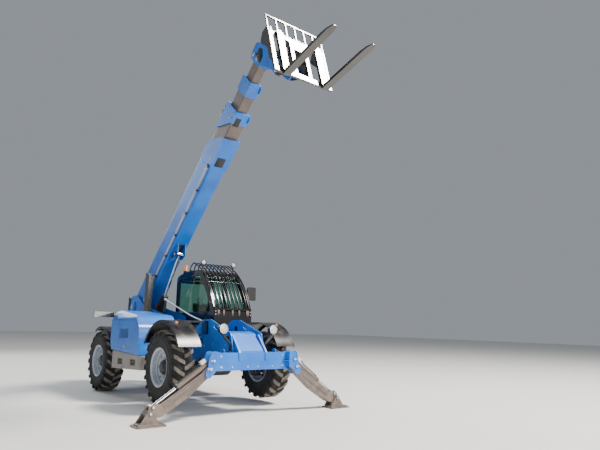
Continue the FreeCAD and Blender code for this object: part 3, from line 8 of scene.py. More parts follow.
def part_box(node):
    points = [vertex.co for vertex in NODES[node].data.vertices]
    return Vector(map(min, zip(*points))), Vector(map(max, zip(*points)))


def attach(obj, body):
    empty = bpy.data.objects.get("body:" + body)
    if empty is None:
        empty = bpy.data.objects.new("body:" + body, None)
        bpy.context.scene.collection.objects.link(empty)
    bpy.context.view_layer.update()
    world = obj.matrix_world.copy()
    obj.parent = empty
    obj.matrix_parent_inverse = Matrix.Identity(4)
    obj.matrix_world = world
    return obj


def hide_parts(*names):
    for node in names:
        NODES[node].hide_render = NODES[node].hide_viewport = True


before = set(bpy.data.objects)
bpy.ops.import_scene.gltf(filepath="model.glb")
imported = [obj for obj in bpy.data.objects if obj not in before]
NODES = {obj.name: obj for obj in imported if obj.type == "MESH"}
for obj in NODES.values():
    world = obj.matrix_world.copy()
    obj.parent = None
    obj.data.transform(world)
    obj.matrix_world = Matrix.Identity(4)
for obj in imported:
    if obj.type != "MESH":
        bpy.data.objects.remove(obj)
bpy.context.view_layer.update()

# Places. Sizes are metres; the axes are those of the machine on level ground
# before it is tipped nose up about its rear axle.

WHEELBASE = 3.07
TRACK = 1.01
RIM_BOLTS, RIM_CIRCLE = 10, 0.132
PITCH = radians(-1.6)
rear_lo, rear_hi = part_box("rim_rear_left")
REAR = Vector((0, (rear_lo.y + rear_hi.y) / 2, (rear_lo.z + rear_hi.z) / 2))
CHASSIS = (Matrix.Translation(REAR) @ Matrix.Rotation(PITCH, 4, "X")
           @ Matrix.Translation((0, -WHEELBASE, -REAR.z)))
FLIP = Matrix.Scale(-1, 4, (1, 0, 0))

# boom axes are (x, -u, v): u along the boom from its pivot, v up
BOOM_RISE = radians(-42.9)
BOOM = (CHASSIS @ Matrix.Translation((0, WHEELBASE + 0.617, 1.828))
        @ Matrix.Rotation(BOOM_RISE, 4, "X"))
BOOM_HALF, BOOM_TOP, BOOM_LOW = 0.170, 0.225, -0.335
MAIN_END = 4.54
COLLAR = 0.014
LIFT_U, LIFT_V = 2.05, -0.44

# carriage axes start at its pin, forks along -y
HEAD_PIN = Vector((0, -6.705, -0.947))
TILT_BASE = (-6.57, 0.11)
TOOL = Matrix.Translation(BOOM @ HEAD_PIN) @ Matrix.Rotation(PITCH - radians(15), 4, "X")
FORK_HEEL_Z, FORK_BACK_Y = -0.55, -0.50

# stabiliser: leg axes run from the leg's pin to the foot, z out of the leg's top
LEG_Y, LEG_HALF = -1.105, 0.072
EAR_GAP, EAR_T = 0.005, 0.016
LEG_PIN_R, JACK_PIN_R = 0.028, 0.024
EYE_BACK, EYE_UP = 0.085, 0.045
JACK_SHARE = 0.61
LEG_PIN = Vector((0.856, LEG_Y, 0.640))
JACK_PIN = Vector((0.806, LEG_Y, 0.763))
FOOT_X, FOOT_H = 1.815, 0.165
foot_z = REAR.z + (FOOT_H - REAR.z + (LEG_Y - WHEELBASE) * sin(-PITCH)) / cos(PITCH)
FOOT_PIN = Vector((FOOT_X, LEG_Y, foot_z))


def along(p, q, flip=False):
    """Axes at p with x towards q and z upwards, in the plane of the stabiliser."""
    e = (q - p).normalized()
    n = Vector((-e.z, 0, e.x))
    m = Matrix((e, n.cross(e), n)).transposed().to_4x4()
    m.translation = p
    return CHASSIS @ (FLIP if flip else Matrix()) @ m


leg_way = (FOOT_PIN - LEG_PIN).normalized()
JACK_EYE = FOOT_PIN - leg_way * EYE_BACK + Vector((-leg_way.z, 0, leg_way.x)) * EYE_UP
JACK_LEN = (JACK_EYE - JACK_PIN).length

# lift cylinder axes: origin at its base pin, y up along the barrel
LIFT_FOOT = Vector((0, WHEELBASE + 0.222, 0.906))
lift_eye = CHASSIS.inverted() @ BOOM @ Vector((0, -LIFT_U, LIFT_V))
lift_way = (lift_eye - LIFT_FOOT).normalized()
LIFT = CHASSIS @ Matrix.Translation(LIFT_FOOT) @ Matrix(
    (Vector((1, 0, 0)), lift_way, Vector((1, 0, 0)).cross(lift_way))).transposed().to_4x4()

# cab
CAB_IN, CAB_OUT, CAB_REAR = 0.255, 1.150, WHEELBASE - 0.61
CAB_MID = (CAB_IN + CAB_OUT) / 2
CAB_DECK = 0.805
CAB_FRONT, CAB_WALL = 0.720, 0.045
SEAT_LIFT = 0.33

# frame: outer faces of the nose plates, the beam, the tower, the sill and the lid
NOSE_X, TOWER_X = 0.322, 0.236
BEAM_FRONT, BEAM_TOP = -1.090, 0.885
SILL_X, LID_X = -1.150, -1.170
TAIL_Y = WHEELBASE + 0.94
TOWER_TOP_Y = WHEELBASE + 0.885
LAMP_X, LAMP_Y, LAMP_Z = 0.51, -0.962, 1.27


def wheel_place(tag):
    side = Matrix() if tag.endswith("left") else FLIP
    y = 0.0 if tag.startswith("front") else WHEELBASE
    return CHASSIS @ side @ Matrix.Translation((TRACK, y, REAR.z))


WHEELS = ("front_left", "front_right", "rear_left", "rear_right")
SIDES = (("left", False), ("right", True))


class Val:
    """A shader value that takes part in ordinary arithmetic."""

    def __init__(self, net, socket):
        self.net = net
        self.socket = socket

    def _op(self, op, a, b=None):
        return self.net.math(op, a, b)

    def __add__(self, o):
        return self._op("ADD", self, o)

    def __sub__(self, o):
        return self._op("SUBTRACT", self, o)

    def __rsub__(self, o):
        return self._op("SUBTRACT", o, self)

    def __mul__(self, o):
        return self._op("MULTIPLY", self, o)

    def __pow__(self, o):
        return self._op("POWER", self, o)

    def __abs__(self):
        return self._op("ABSOLUTE", self)

    __radd__, __rmul__ = __add__, __mul__

    def wave(self):
        return self._op("SINE", self)

    def clamp(self):
        return self.net.math("ADD", self, 0.0, True)

    def smooth(self, lo, hi):
        """0 below lo, 1 above hi, smooth between; lo may be above hi."""
        n = self.net.node("ShaderNodeMapRange", dict(interpolation_type="SMOOTHSTEP"),
                          {"Value": self, "From Min": lo, "From Max": hi, "To Min": 0.0,
                           "To Max": 1.0})
        return Val(self.net, n.outputs["Result"])


class Net:
    """One material's node tree."""

    def __init__(self, name):
        self.mat = bpy.data.materials.new(name)
        self.mat.use_nodes = True
        self.tree = self.mat.node_tree
        self.tree.nodes.clear()
        self.coord = self.node("ShaderNodeTexCoord").outputs["Object"]

    def node(self, kind, settings=None, inputs=None):
        n = self.tree.nodes.new(kind)
        for k, v in (settings or {}).items():
            setattr(n, k, v)
        for k, v in (inputs or {}).items():
            self.feed(n.inputs[k], v)
        return n

    def feed(self, socket, v):
        if isinstance(v, Val):
            self.tree.links.new(v.socket, socket)
        elif isinstance(v, bpy.types.NodeSocket):
            self.tree.links.new(v, socket)
        elif isinstance(v, (tuple, list)):
            socket.default_value = tuple(v) + (1.0,) if len(v) == 3 and socket.type == "RGBA" else v
        else:
            socket.default_value = v

    def math(self, op, a, b=None, clamp=False):
        ins = {0: a}
        if b is not None:
            ins[1] = b
        n = self.node("ShaderNodeMath", dict(operation=op, use_clamp=clamp), ins)
        return Val(self, n.outputs[0])

    def axes(self):
        n = self.node("ShaderNodeSeparateXYZ", None, {0: self.coord})
        return [Val(self, n.outputs[i]) for i in range(3)]

    def up(self):
        """How far the surface faces upward, 0 to 1."""
        g = self.node("ShaderNodeNewGeometry")
        n = self.node("ShaderNodeSeparateXYZ", None, {0: g.outputs["Normal"]})
        return Val(self, n.outputs[2]).smooth(0.2, 0.95)

    def noise(self, scale, detail=4.0, rough=0.55, coord=None):
        n = self.node("ShaderNodeTexNoise", None,
                      {"Vector": coord or self.coord, "Scale": scale, "Detail": detail,
                       "Roughness": rough})
        return Val(self, n.outputs[0])

    def cells(self, scale):
        n = self.node("ShaderNodeTexVoronoi", dict(feature="F1"),
                      {"Vector": self.coord, "Scale": scale})
        return Val(self, n.outputs["Distance"])

    def stretch(self, x, y, z):
        return self.node("ShaderNodeMapping", None,
                         {"Vector": self.coord, "Scale": (x, y, z)}).outputs[0]

    def mix(self, factor, a, b):
        n = self.node("ShaderNodeMix", dict(data_type="RGBA"), {"Factor": factor})
        self.feed(n.inputs[6], a)
        self.feed(n.inputs[7], b)
        return n.outputs[2]

    def bump(self, height, strength, distance=0.002):
        return self.node("ShaderNodeBump", None, {"Height": height, "Strength": strength,
                                                  "Distance": distance}).outputs[0]

    def surface(self, **ins):
        p = self.node("ShaderNodeBsdfPrincipled")
        names = dict(color="Base Color", rough="Roughness", metal="Metallic", normal="Normal",
                     coat="Coat Weight", coat_rough="Coat Roughness", ior="IOR",
                     through="Transmission Weight", alpha="Alpha", glow="Emission Color",
                     glow_power="Emission Strength", sheen="Sheen Weight")
        for k, v in ins.items():
            self.feed(p.inputs[names[k]], v)
        out = self.node("ShaderNodeOutputMaterial")
        self.tree.links.new(p.outputs[0], out.inputs[0])
        return self.mat


def srgb(r, g, b):
    out = []
    for c in (r, g, b):
        c = c / 255.0
        out.append(c / 12.92 if c <= 0.04045 else ((c + 0.055) / 1.055) ** 2.4)
    return tuple(out)


DUST = srgb(158, 146, 130)


def paint(name, color, dark, rough=0.28, coat=0.6, dust=0.35, press_line_and_shade=None):
    """Sprayed paint with orange peel, film dust on top faces and road dust low down; an optional
    press line is sunk in the bump and painted dark as shade in the crease.
    """
    n = Net(name)
    x, y, z = n.axes()
    base = n.mix(n.noise(2.2, 3.0).smooth(0.35, 0.75), color, dark)
    grime = (n.noise(6.0, 6.0, 0.65).smooth(0.45, 0.8) * n.up() * dust
             + z.smooth(0.85, 0.1) * n.noise(11.0, 5.0, 0.6).smooth(0.35, 0.7) * dust).clamp()
    scratch = n.noise(3.0, 8.0, 0.7, n.stretch(1.0, 9.0, 2.0)).smooth(0.72, 0.80) * 0.25
    col = n.mix(scratch, n.mix(grime, base, DUST), tuple(c * 0.6 + 0.06 for c in color))
    peel = n.noise(240.0, 2.0) * 0.5 + n.noise(30.0, 2.0)
    if press_line_and_shade:
        line = press_line_and_shade(x, y, z)
        # the press line's dark colour is painted shade in the crease; the bump also sinks it
        col = n.mix(line, col, tuple(c * 0.25 for c in dark))
        peel = peel - line * 40.0
    return n.surface(color=col, rough=rough + grime * 0.35 + n.noise(60.0, 2.0) * 0.06,
                     coat=coat, coat_rough=0.06, normal=n.bump(peel, 0.035, 0.001))


def lid_press_line_and_shade(x, y, z):
    """Press line of the service panel on the lid's outer side; paint() sinks it in the bump and
    darkens it as painted shade in the crease.
    """
    dy = abs(y - 1.62) * 1.0 - 0.60
    dz = abs(z - 1.175) * 1.0 - 0.225
    corner = (dy.smooth(-0.12, 0.0) * dz.smooth(-0.12, 0.0)) * 0.04
    edge_y = abs(dy + corner)
    edge_z = abs(dz + corner)
    in_y, in_z = dy.smooth(0.004, 0.0), dz.smooth(0.004, 0.0)
    side = x.smooth(-1.13, -1.16)
    line = edge_y.smooth(0.004, 0.001) * in_z + edge_z.smooth(0.004, 0.001) * in_y
    return (line * side).clamp()


def metal(name, color, rough=0.3, amount=1.0, smear=0.15, brushed=False):
    n = Net(name)
    s = n.noise(9.0, 4.0, 0.6)
    col = n.mix(s.smooth(0.3, 0.8), color, tuple(c * 0.72 for c in color))
    grain = n.noise(60.0, 3.0, 0.5, n.stretch(1, 14, 14)) if brushed else n.noise(160.0, 2.0)
    return n.surface(color=col, metal=amount, rough=rough + s * smear,
                     normal=n.bump(grain, 0.04, 0.0005))


def plastic(name, color, rough=0.5, dust=0.3, grain=0.15, scale=420.0):
    n = Net(name)
    t = n.noise(7.0, 5.0, 0.6)
    grime = (t.smooth(0.45, 0.8) * n.up() * dust).clamp()
    col = n.mix(grime, n.mix(t, color, tuple(c * 0.7 for c in color)), DUST)
    return n.surface(color=col, rough=rough + t * 0.12 + grime * 0.2,
                     normal=n.bump(n.noise(scale, 2.0), grain, 0.0006))


def cloth(name, color):
    """Woven seat cover: two crossed thread waves with worn, lighter patches."""
    n = Net(name)
    x, y, z = n.axes()
    weave = (x * 2600.0).wave() * ((y + z) * 2600.0).wave()
    worn = n.noise(5.0, 5.0, 0.6).smooth(0.4, 0.8)
    col = n.mix(worn, color, tuple(c * 1.8 + 0.01 for c in color))
    col = n.mix(weave.smooth(-1.0, 1.0), tuple(c * 0.5 for c in color), col)
    return n.surface(color=col, rough=0.82, sheen=0.25,
                     normal=n.bump(weave * 0.5 + n.noise(300.0, 2.0), 0.25, 0.0006))


def glass(name, color):
    n = Net(name)
    s = n.noise(14.0, 4.0, 0.6)
    film = n.noise(4.0, 6.0, 0.7).smooth(0.55, 0.85)
    return n.surface(color=n.mix(s.smooth(0.3, 0.8), color, tuple(c * 0.94 for c in color)),
                     rough=0.02 + film * 0.05, through=1.0, ior=1.45)


def lens(name, color, dark, power):
    n = Net(name)
    c = n.cells(150.0)
    return n.surface(color=n.mix(c.smooth(0.1, 0.6), color, dark), rough=0.1,
                     glow=color + (1.0,), glow_power=power, coat=0.8, normal=n.bump(c, 0.35))


def tyre_rubber(name, cy, cz):
    """Black sidewall with moulded rings, road dust on the lugs and in the bead."""
    n = Net(name)
    x, y, z = n.axes()
    r = ((y - cy) * (y - cy) + (z - cz) * (z - cz)) ** 0.5
    t = n.noise(18.0, 6.0, 0.65)
    worn = (r.smooth(0.588, 0.612) * t.smooth(0.22, 0.55)).clamp()
    side = (r.smooth(0.60, 0.34) * n.noise(9.0, 4.0).smooth(0.4, 0.8) * 0.30).clamp()
    col = n.mix(side, n.mix(t, srgb(24, 24, 25), srgb(36, 35, 35)), srgb(96, 88, 80))
    col = n.mix(worn * 0.75, col, srgb(138, 128, 118))
    rings = (r * 420.0).wave() * r.smooth(0.47, 0.45)
    return n.surface(color=col, rough=0.72 + t * 0.2,
                     normal=n.bump(n.noise(130.0, 4.0) + rings * 0.7, 0.3, 0.0012))


BLUE, BLUE_DARK = srgb(0, 112, 206), srgb(0, 92, 184)
MAT = {
    "blue": paint("blue_paint", BLUE, BLUE_DARK, rough=0.36, coat=0.15),
    "lid": paint("lid_paint", BLUE, BLUE_DARK, rough=0.32, coat=0.2, press_line_and_shade=lid_press_line_and_shade),
    "taupe": paint("taupe_paint", srgb(104, 90, 82), srgb(84, 72, 66), rough=0.42, coat=0.2,
                   dust=0.4),
    "grey": paint("sill_grey", srgb(140, 132, 126), srgb(118, 110, 104), rough=0.5, coat=0.1,
                  dust=0.4),
    "black": paint("gloss_black", srgb(18, 18, 20), srgb(10, 10, 12), rough=0.18, coat=0.9,
                   dust=0.12),
    "satin_black": paint("satin_black", srgb(26, 26, 28), srgb(16, 16, 18), rough=0.42,
                         coat=0.1, dust=0.25),
    "fork": paint("fork_steel", srgb(44, 36, 32), srgb(26, 22, 20), rough=0.24, coat=0.9,
                  dust=0.05),
    "bracket": paint("bracket_umber", srgb(112, 92, 82), srgb(88, 72, 66), rough=0.45,
                     coat=0.15, dust=0.25),
    "pipe": paint("pipe_grey", srgb(176, 184, 192), srgb(150, 158, 168), rough=0.3, coat=0.4,
                  dust=0.2),
    "white": paint("valve_white", srgb(214, 216, 218), srgb(190, 192, 196), rough=0.35,
                   coat=0.4, dust=0.35),
    "red": paint("cap_red", srgb(150, 40, 34), srgb(120, 30, 28), rough=0.35, coat=0.3,
                 dust=0.3),
    "rim": paint("rim_silver", srgb(176, 184, 194), srgb(148, 156, 168), rough=0.33,
                 coat=0.3, dust=0.3),
    "chrome": metal("rod_chrome", (0.80, 0.81, 0.84), 0.08, smear=0.08),
    "zinc": metal("zinc_plate", (0.66, 0.65, 0.60), 0.32, smear=0.2),
    "mirror": metal("mirror_face", (0.86, 0.88, 0.90), 0.03, smear=0.03),
    "iron": metal("engine_iron", (0.09, 0.09, 0.095), 0.55, amount=0.7),
    "alloy": metal("cast_alloy", (0.42, 0.43, 0.44), 0.5, amount=0.9),
    "mud": plastic("guard_plastic", srgb(16, 16, 18), 0.22, dust=0.25, grain=0.05),
    "plastic": plastic("black_plastic", srgb(24, 24, 26), 0.55),
    "plate": plastic("blank_plate", srgb(22, 24, 30), 0.35, dust=0.2, grain=0.05),
    "rubber": plastic("hose_rubber", srgb(18, 18, 19), 0.6, dust=0.25, grain=0.3, scale=700.0),
    "grip": plastic("wheel_grip", srgb(20, 20, 22), 0.6, dust=0.05),
    "pale": plastic("pale_vinyl", srgb(206, 208, 208), 0.5, dust=0.1),
    "cloth": cloth("seat_cloth", srgb(32, 32, 36)),
    "glass": glass("cab_glass", srgb(176, 220, 204)),
    "lens": lens("lamp_lens", (0.62, 0.64, 0.66), (0.38, 0.40, 0.43), 0.06),
    "red_lens": lens("tail_lens", (0.60, 0.02, 0.02), (0.35, 0.01, 0.01), 0.05),
    "amber": lens("beacon_lens", (1.0, 0.32, 0.02), (0.80, 0.18, 0.01), 0.20),
    "tyre_front": tyre_rubber("tyre_front", (CHASSIS @ Vector((0, 0, REAR.z))).y,
                              (CHASSIS @ Vector((0, 0, REAR.z))).z),
    "tyre_rear": tyre_rubber("tyre_rear", REAR.y, REAR.z),
}

LOOK = {
    "blue": ["chassis_frame", "stabiliser_beam", "boom_main", "boom_second_collar",
             "boom_third_collar", "boom_head", "counterweight"],
    "lid": ["bonnet_lid"],
    "taupe": ["boom_second", "boom_third", "boom_inner", "leg_left", "leg_right",
              "leg_barrel_left", "leg_barrel_right", "pad_left", "pad_right"],
    "grey": ["side_sill"],
    "black": ["cab_shell", "cab_guard", "cab_door", "hose_guard", "mirror_rear"],
    "satin_black": ["front_axle", "rear_axle", "bonnet_rail", "mirror_left", "lift_barrel",
                    "tilt_barrel", "headlamps", "work_lamps", "fuel_tank",
                    *("knuckle_" + tag for tag in WHEELS)],
    "fork": ["forks", "carriage"],
    "chrome": ["lift_rod", "tilt_rod", "leg_rod_left", "leg_rod_right"],
    "rim": ["rim_" + tag for tag in WHEELS],
    "iron": ["engine_block"],
    "mud": ["mudguards"],
    "plastic": ["dash", "seat"],
    "grip": ["steering_wheel"],
    "glass": ["cab_glass", "cab_door_glass"],
    "amber": ["beacon"],
    "tyre_front": ["tyre_" + tag for tag in WHEELS[:2]],
    "tyre_rear": ["tyre_" + tag for tag in WHEELS[2:]],
}
for key, names in LOOK.items():
    for name in names:
        mesh = NODES[name].data
        mesh.materials.clear()
        mesh.materials.append(MAT[key])


class Piece:
    """A new piece, built from bmesh operators in the axes of what carries it."""

    def __init__(self, place=CHASSIS):
        self.place = place
        self.bm = bmesh.new()

    def take(self, b, at=Matrix()):
        bmesh.ops.transform(b, matrix=at, verts=b.verts)
        bmesh.ops.recalc_face_normals(b, faces=b.faces)
        me = bpy.data.meshes.new("part")
        b.to_mesh(me)
        b.free()
        self.bm.from_mesh(me)
        bpy.data.meshes.remove(me)
        return self

    def block(self, x, y, z, edge=0.0, turn=None):
        b = bmesh.new()
        bmesh.ops.create_cube(b, size=1.0)
        size = (x[1] - x[0], y[1] - y[0], z[1] - z[0])
        bmesh.ops.transform(b, matrix=Matrix.Diagonal((*size, 1)), verts=b.verts)
        if edge:
            bmesh.ops.bevel(b, geom=b.edges[:], offset=edge, segments=2, profile=0.5,
                            affect="EDGES", material=-1)
        mid = Matrix.Translation(((x[0] + x[1]) / 2, (y[0] + y[1]) / 2, (z[0] + z[1]) / 2))
        return self.take(b, mid @ (turn or Matrix()))

    def rod(self, p, q, r, end_r=None, sides=24, edge=0.0):
        p, q = Vector(p), Vector(q)
        b = bmesh.new()
        bmesh.ops.create_cone(b, cap_ends=True, segments=sides, radius1=r,
                              radius2=r if end_r is None else end_r, depth=(q - p).length)
        if edge:
            rims = [e for e in b.edges if abs(e.verts[0].co.z - e.verts[1].co.z) < 1e-6]
            bmesh.ops.bevel(b, geom=rims, offset=edge, segments=2, profile=0.5,
                            affect="EDGES", material=-1)
        turn = (q - p).to_track_quat("Z", "Y").to_matrix().to_4x4()
        return self.take(b, Matrix.Translation((p + q) / 2) @ turn)

    def pin(self, x, y, z, *radii, **form):
        """Rod along x."""
        return self.rod((x[0], y, z), (x[1], y, z), *radii, **form)

    def lathe(self, line, p, axis, steps=40, closed=False):
        """Turned form: line holds (distance along axis, radius) pairs."""
        b = bmesh.new()
        verts = [b.verts.new((r, 0, a)) for a, r in line]
        pairs = list(zip(verts, verts[1:])) + ([(verts[-1], verts[0])] if closed else [])
        edges = [b.edges.new(pair) for pair in pairs]
        bmesh.ops.spin(b, geom=verts + edges, cent=(0, 0, 0), axis=(0, 0, 1),
                       angle=tau, steps=steps, use_merge=True)
        bmesh.ops.remove_doubles(b, verts=b.verts, dist=1e-6)
        turn = Vector(axis).to_track_quat("Z", "Y").to_matrix().to_4x4()
        return self.take(b, Matrix.Translation(p) @ turn)

    def plate(self, axis, outline, low, high, edge=0.0):
        """Flat outline pushed through from low to high along x, y or z."""
        spread = {"x": lambda a, c: (low, a, c), "y": lambda a, c: (a, low, c),
                  "z": lambda a, c: (a, c, low)}[axis]
        push = {"x": (high - low, 0, 0), "y": (0, high - low, 0), "z": (0, 0, high - low)}[axis]
        b = bmesh.new()
        face = b.faces.new([b.verts.new(spread(a, c)) for a, c in outline])
        grown = bmesh.ops.extrude_face_region(b, geom=[face])["geom"]
        bmesh.ops.translate(b, vec=push, verts=[g for g in grown
                                                if isinstance(g, bmesh.types.BMVert)])
        if edge:
            bmesh.ops.bevel(b, geom=b.edges[:], offset=edge, segments=2, profile=0.5,
                            affect="EDGES", material=-1)
        return self.take(b)

    def bolt(self, p, axis, r=0.012, h=0.010):
        """Washer and hexagon head standing on a surface at p."""
        p, a = Vector(p), Vector(axis).normalized()
        self.rod(p - a * 0.002, p + a * 0.003, r * 1.5, sides=20)
        return self.rod(p + a * 0.003, p + a * (0.003 + h), r, r * 0.94, sides=6)

    def pipe(self, points, r, order=3):
        """Round pipe along a smooth line through its control points."""
        c = bpy.data.curves.new("line", "CURVE")
        c.dimensions = "3D"
        c.bevel_depth = r
        c.bevel_resolution = 3
        c.use_fill_caps = True
        s = c.splines.new("NURBS")
        s.points.add(len(points) - 1)
        for q, p in zip(s.points, points):
            q.co = (*p, 1.0)
        s.order_u = order
        s.use_endpoint_u = True
        s.resolution_u = 8
        o = bpy.data.objects.new("line", c)
        me = bpy.data.meshes.new_from_object(o)
        b = bmesh.new()
        b.from_mesh(me)
        bmesh.ops.remove_doubles(b, verts=b.verts, dist=1e-6)
        bpy.data.meshes.remove(me)
        bpy.data.objects.remove(o)
        bpy.data.curves.remove(c)
        return self.take(b)

    def done(self, name, look, body="chassis", crease=32):
        bmesh.ops.transform(self.bm, matrix=self.place, verts=self.bm.verts)
        if self.place.determinant() < 0:
            bmesh.ops.reverse_faces(self.bm, faces=self.bm.faces)
        me = bpy.data.meshes.new(name)
        self.bm.to_mesh(me)
        self.bm.free()
        me.materials.append(MAT[look])
        me.shade_smooth()
        me.set_sharp_from_angle(angle=radians(crease))
        o = bpy.data.objects.new(name, me)
        bpy.context.scene.collection.objects.link(o)
        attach(o, body)
        return o


def span(s, a, b):
    """The range from a to b, on the side that s tells."""
    return sorted((s * a, s * b))


def ring_of(count, r, start=0.0):
    """Points of a bolt circle in the plane across x."""
    for k in range(count):
        a = start + k * tau / count
        yield r * cos(a), r * sin(a)


# Wheels

def wheel_trim(tag):
    p = Piece(wheel_place(tag))
    for y, z in ring_of(RIM_BOLTS, RIM_CIRCLE, pi / RIM_BOLTS):
        p.pin((0.050, 0.058), y, z, 0.021, sides=20)
        p.pin((0.056, 0.072), y, z, 0.0165, 0.0155, sides=6)
        p.pin((0.070, 0.082), y, z, 0.008, sides=12)
    p.pipe([(0.060, 0.262, 0.0), (0.090, 0.258, 0.0), (0.122, 0.268, 0.0)], 0.006)
    p.rod((0.118, 0.266, 0.0), (0.136, 0.272, 0.0), 0.009, sides=12, edge=0.002)
    p.done("wheel_nuts_" + tag, "zinc", "wheel_" + tag)
    p = Piece(wheel_place(tag))
    p.lathe([(0.017, 0.154), (0.042, 0.153), (0.044, 0.148), (0.090, 0.121), (0.120, 0.100),
             (0.130, 0.062), (0.136, 0.058), (0.136, 0.0)], (0, 0, 0), (1, 0, 0), 48)
    for y, z in ring_of(6, 0.088):
        p.bolt((0.119, y, z), (1, 0, 0), 0.008, 0.007)
    p.done("hub_cap_" + tag, "satin_black", "wheel_" + tag)
    p = Piece(wheel_place(tag))
    p.lathe([(0.170, 0.317), (0.177, 0.314), (0.183, 0.319), (0.184, 0.326), (0.178, 0.331),
             (0.170, 0.327)], (0, 0, 0), (1, 0, 0), 72, closed=True)
    p.lathe([(0.086, 0.255), (0.094, 0.258), (0.100, 0.282), (0.094, 0.285), (0.080, 0.262)],
            (0, 0, 0), (1, 0, 0), 64, closed=True)
    p.done("rim_roll_" + tag, "rim", "wheel_" + tag)


for tag in WHEELS:
    wheel_trim(tag)


# Boom

def boom_trim():
    side = -BOOM_HALF
    # two pipes clipped along the lower third of the side that faces the engine
    p = Piece(BOOM)
    for v in (-0.212, -0.246):
        p.pipe([(side + 0.003, -4.17, v), (side - 0.020, -4.15, v), (side - 0.024, -4.05, v),
                (side - 0.024, -2.4, v), (side - 0.024, -0.50, v), (side - 0.020, -0.40, v),
                (side + 0.003, -0.37, v)], 0.0125)
    p.done("boom_pipes", "pipe", "boom")
    p = Piece(BOOM)
    for k in range(7):
        u = 0.62 + k * 0.60
        p.block((side - 0.038, side + 0.002), (-u - 0.022, -u + 0.022), (-0.270, -0.188), 0.004)
    p.done("pipe_clamps", "satin_black", "boom")
    p = Piece(BOOM)
    for k in range(7):
        u = 0.62 + k * 0.60
        p.bolt((side - 0.037, -u, -0.229), (-1, 0, 0), 0.007, 0.006)
    # bolts round the slide pads near the collar
    for u in (4.10, 4.36):
        for v in (-0.19, 0.08):
            for s in (1, -1):
                p.bolt((s * (BOOM_HALF + 0.013), -u - 0.02, v), (s, 0, 0), 0.011, 0.008)
    for s in (1, -1):
        for y, z in ring_of(8, 0.098):
            p.bolt((s * 0.262, y, z), (s, 0, 0), 0.009, 0.008)
        # keeper plate and end of the lift rod's pin
        p.pin((s * 0.112, s * 0.120), -LIFT_U, LIFT_V, 0.030, edge=0.002)
        for dy in (-0.026, 0.026):
            p.bolt((s * 0.120, -LIFT_U + dy, LIFT_V + 0.035), (s, 0, 0), 0.006, 0.005)
    p.done("boom_bolts", "zinc", "boom")
    p = Piece(BOOM)
    for s in (1, -1):
        p.pin((s * 0.097, s * 0.112), -LIFT_U, LIFT_V, 0.056, sides=32, edge=0.003)
        p.pin((s * 0.097, s * 0.108), -1.93, -0.375, 0.030, edge=0.002)
    p.done("lift_pin_bosses", "satin_black", "boom")
    # black cheeks and pale pin of the lug on the back of the collar
    top = BOOM_TOP + COLLAR
    p = Piece(BOOM)
    for s in (1, -1):
        x0, x1 = span(s, 0.061, 0.075)
        p.plate("x", [(-MAIN_END + 0.30, top - 0.008), (-MAIN_END + 0.28, top + 0.120),
                      (-MAIN_END + 0.22, top + 0.165), (-MAIN_END + 0.12, top + 0.150),
                      (-MAIN_END + 0.05, top + 0.060), (-MAIN_END + 0.05, top - 0.008)],
                x0, x1, 0.003)
    p.done("collar_lug_cheeks", "satin_black", "boom")
    p = Piece(BOOM)
    p.pin((-0.098, 0.098), -MAIN_END + 0.18, top + 0.100, 0.027, sides=28, edge=0.003)
    p.done("collar_lug_pin", "zinc", "boom")
    # blank plates on the underside of the collars
    p = Piece(BOOM)
    low = BOOM_LOW - COLLAR
    p.block((-0.130, 0.060), (-MAIN_END + 0.03, -MAIN_END + 0.24), (low - 0.004, low + 0.002),
            0.0015)
    p.done("blank_plate_main", "plate", "boom")
    p = Piece(BOOM)
    p.block((-0.110, 0.010), (-5.40, -5.22), (-0.304, -0.298), 0.0015)
    p.done("blank_plate_second", "plate", "second")
    # weld beads along the collar's rear edge
    p = Piece(BOOM)
    u = MAIN_END - 0.33
    w, hi, lo = BOOM_HALF + 0.001, BOOM_TOP + 0.001, BOOM_LOW - 0.001
    for a, b in (((-w, hi), (w, hi)), ((w, hi), (w, lo)), ((w, lo), (-w, lo)),
                 ((-w, lo), (-w, hi))):
        p.rod((a[0], -u, a[1]), (b[0], -u, b[1]), 0.006, sides=10)
    p.done("collar_weld", "blue", "boom")
    # hydraulic line that runs on the second section's back, and its clamp
    p = Piece(BOOM)
    p.pipe([(-0.112, -3.70, 0.184), (-0.112, -4.30, 0.184), (-0.112, -4.855, 0.184)], 0.012)
    p.block((-0.160, -0.095), (-5.29, -5.15), (0.186, 0.236), 0.005)
    p.block((-0.150, -0.105), (-5.385, -5.35), (0.186, 0.262), 0.004)
    p.done("second_back_line", "satin_black", "second")
    p = Piece(BOOM)
    for s in (1, -1):
        for u in (5.33, 5.45):
            for v in (-0.16, 0.06):
                p.bolt((s * 0.163, -u, v), (s, 0, 0), 0.010, 0.008)
    p.done("second_collar_bolts", "zinc", "second")
    p = Piece(BOOM)
    for s in (1, -1):
        for v in (-0.13, 0.03):
            p.bolt((s * 0.131, -6.05, v), (s, 0, 0), 0.009, 0.007)
    p.done("third_collar_bolts", "zinc", "third")


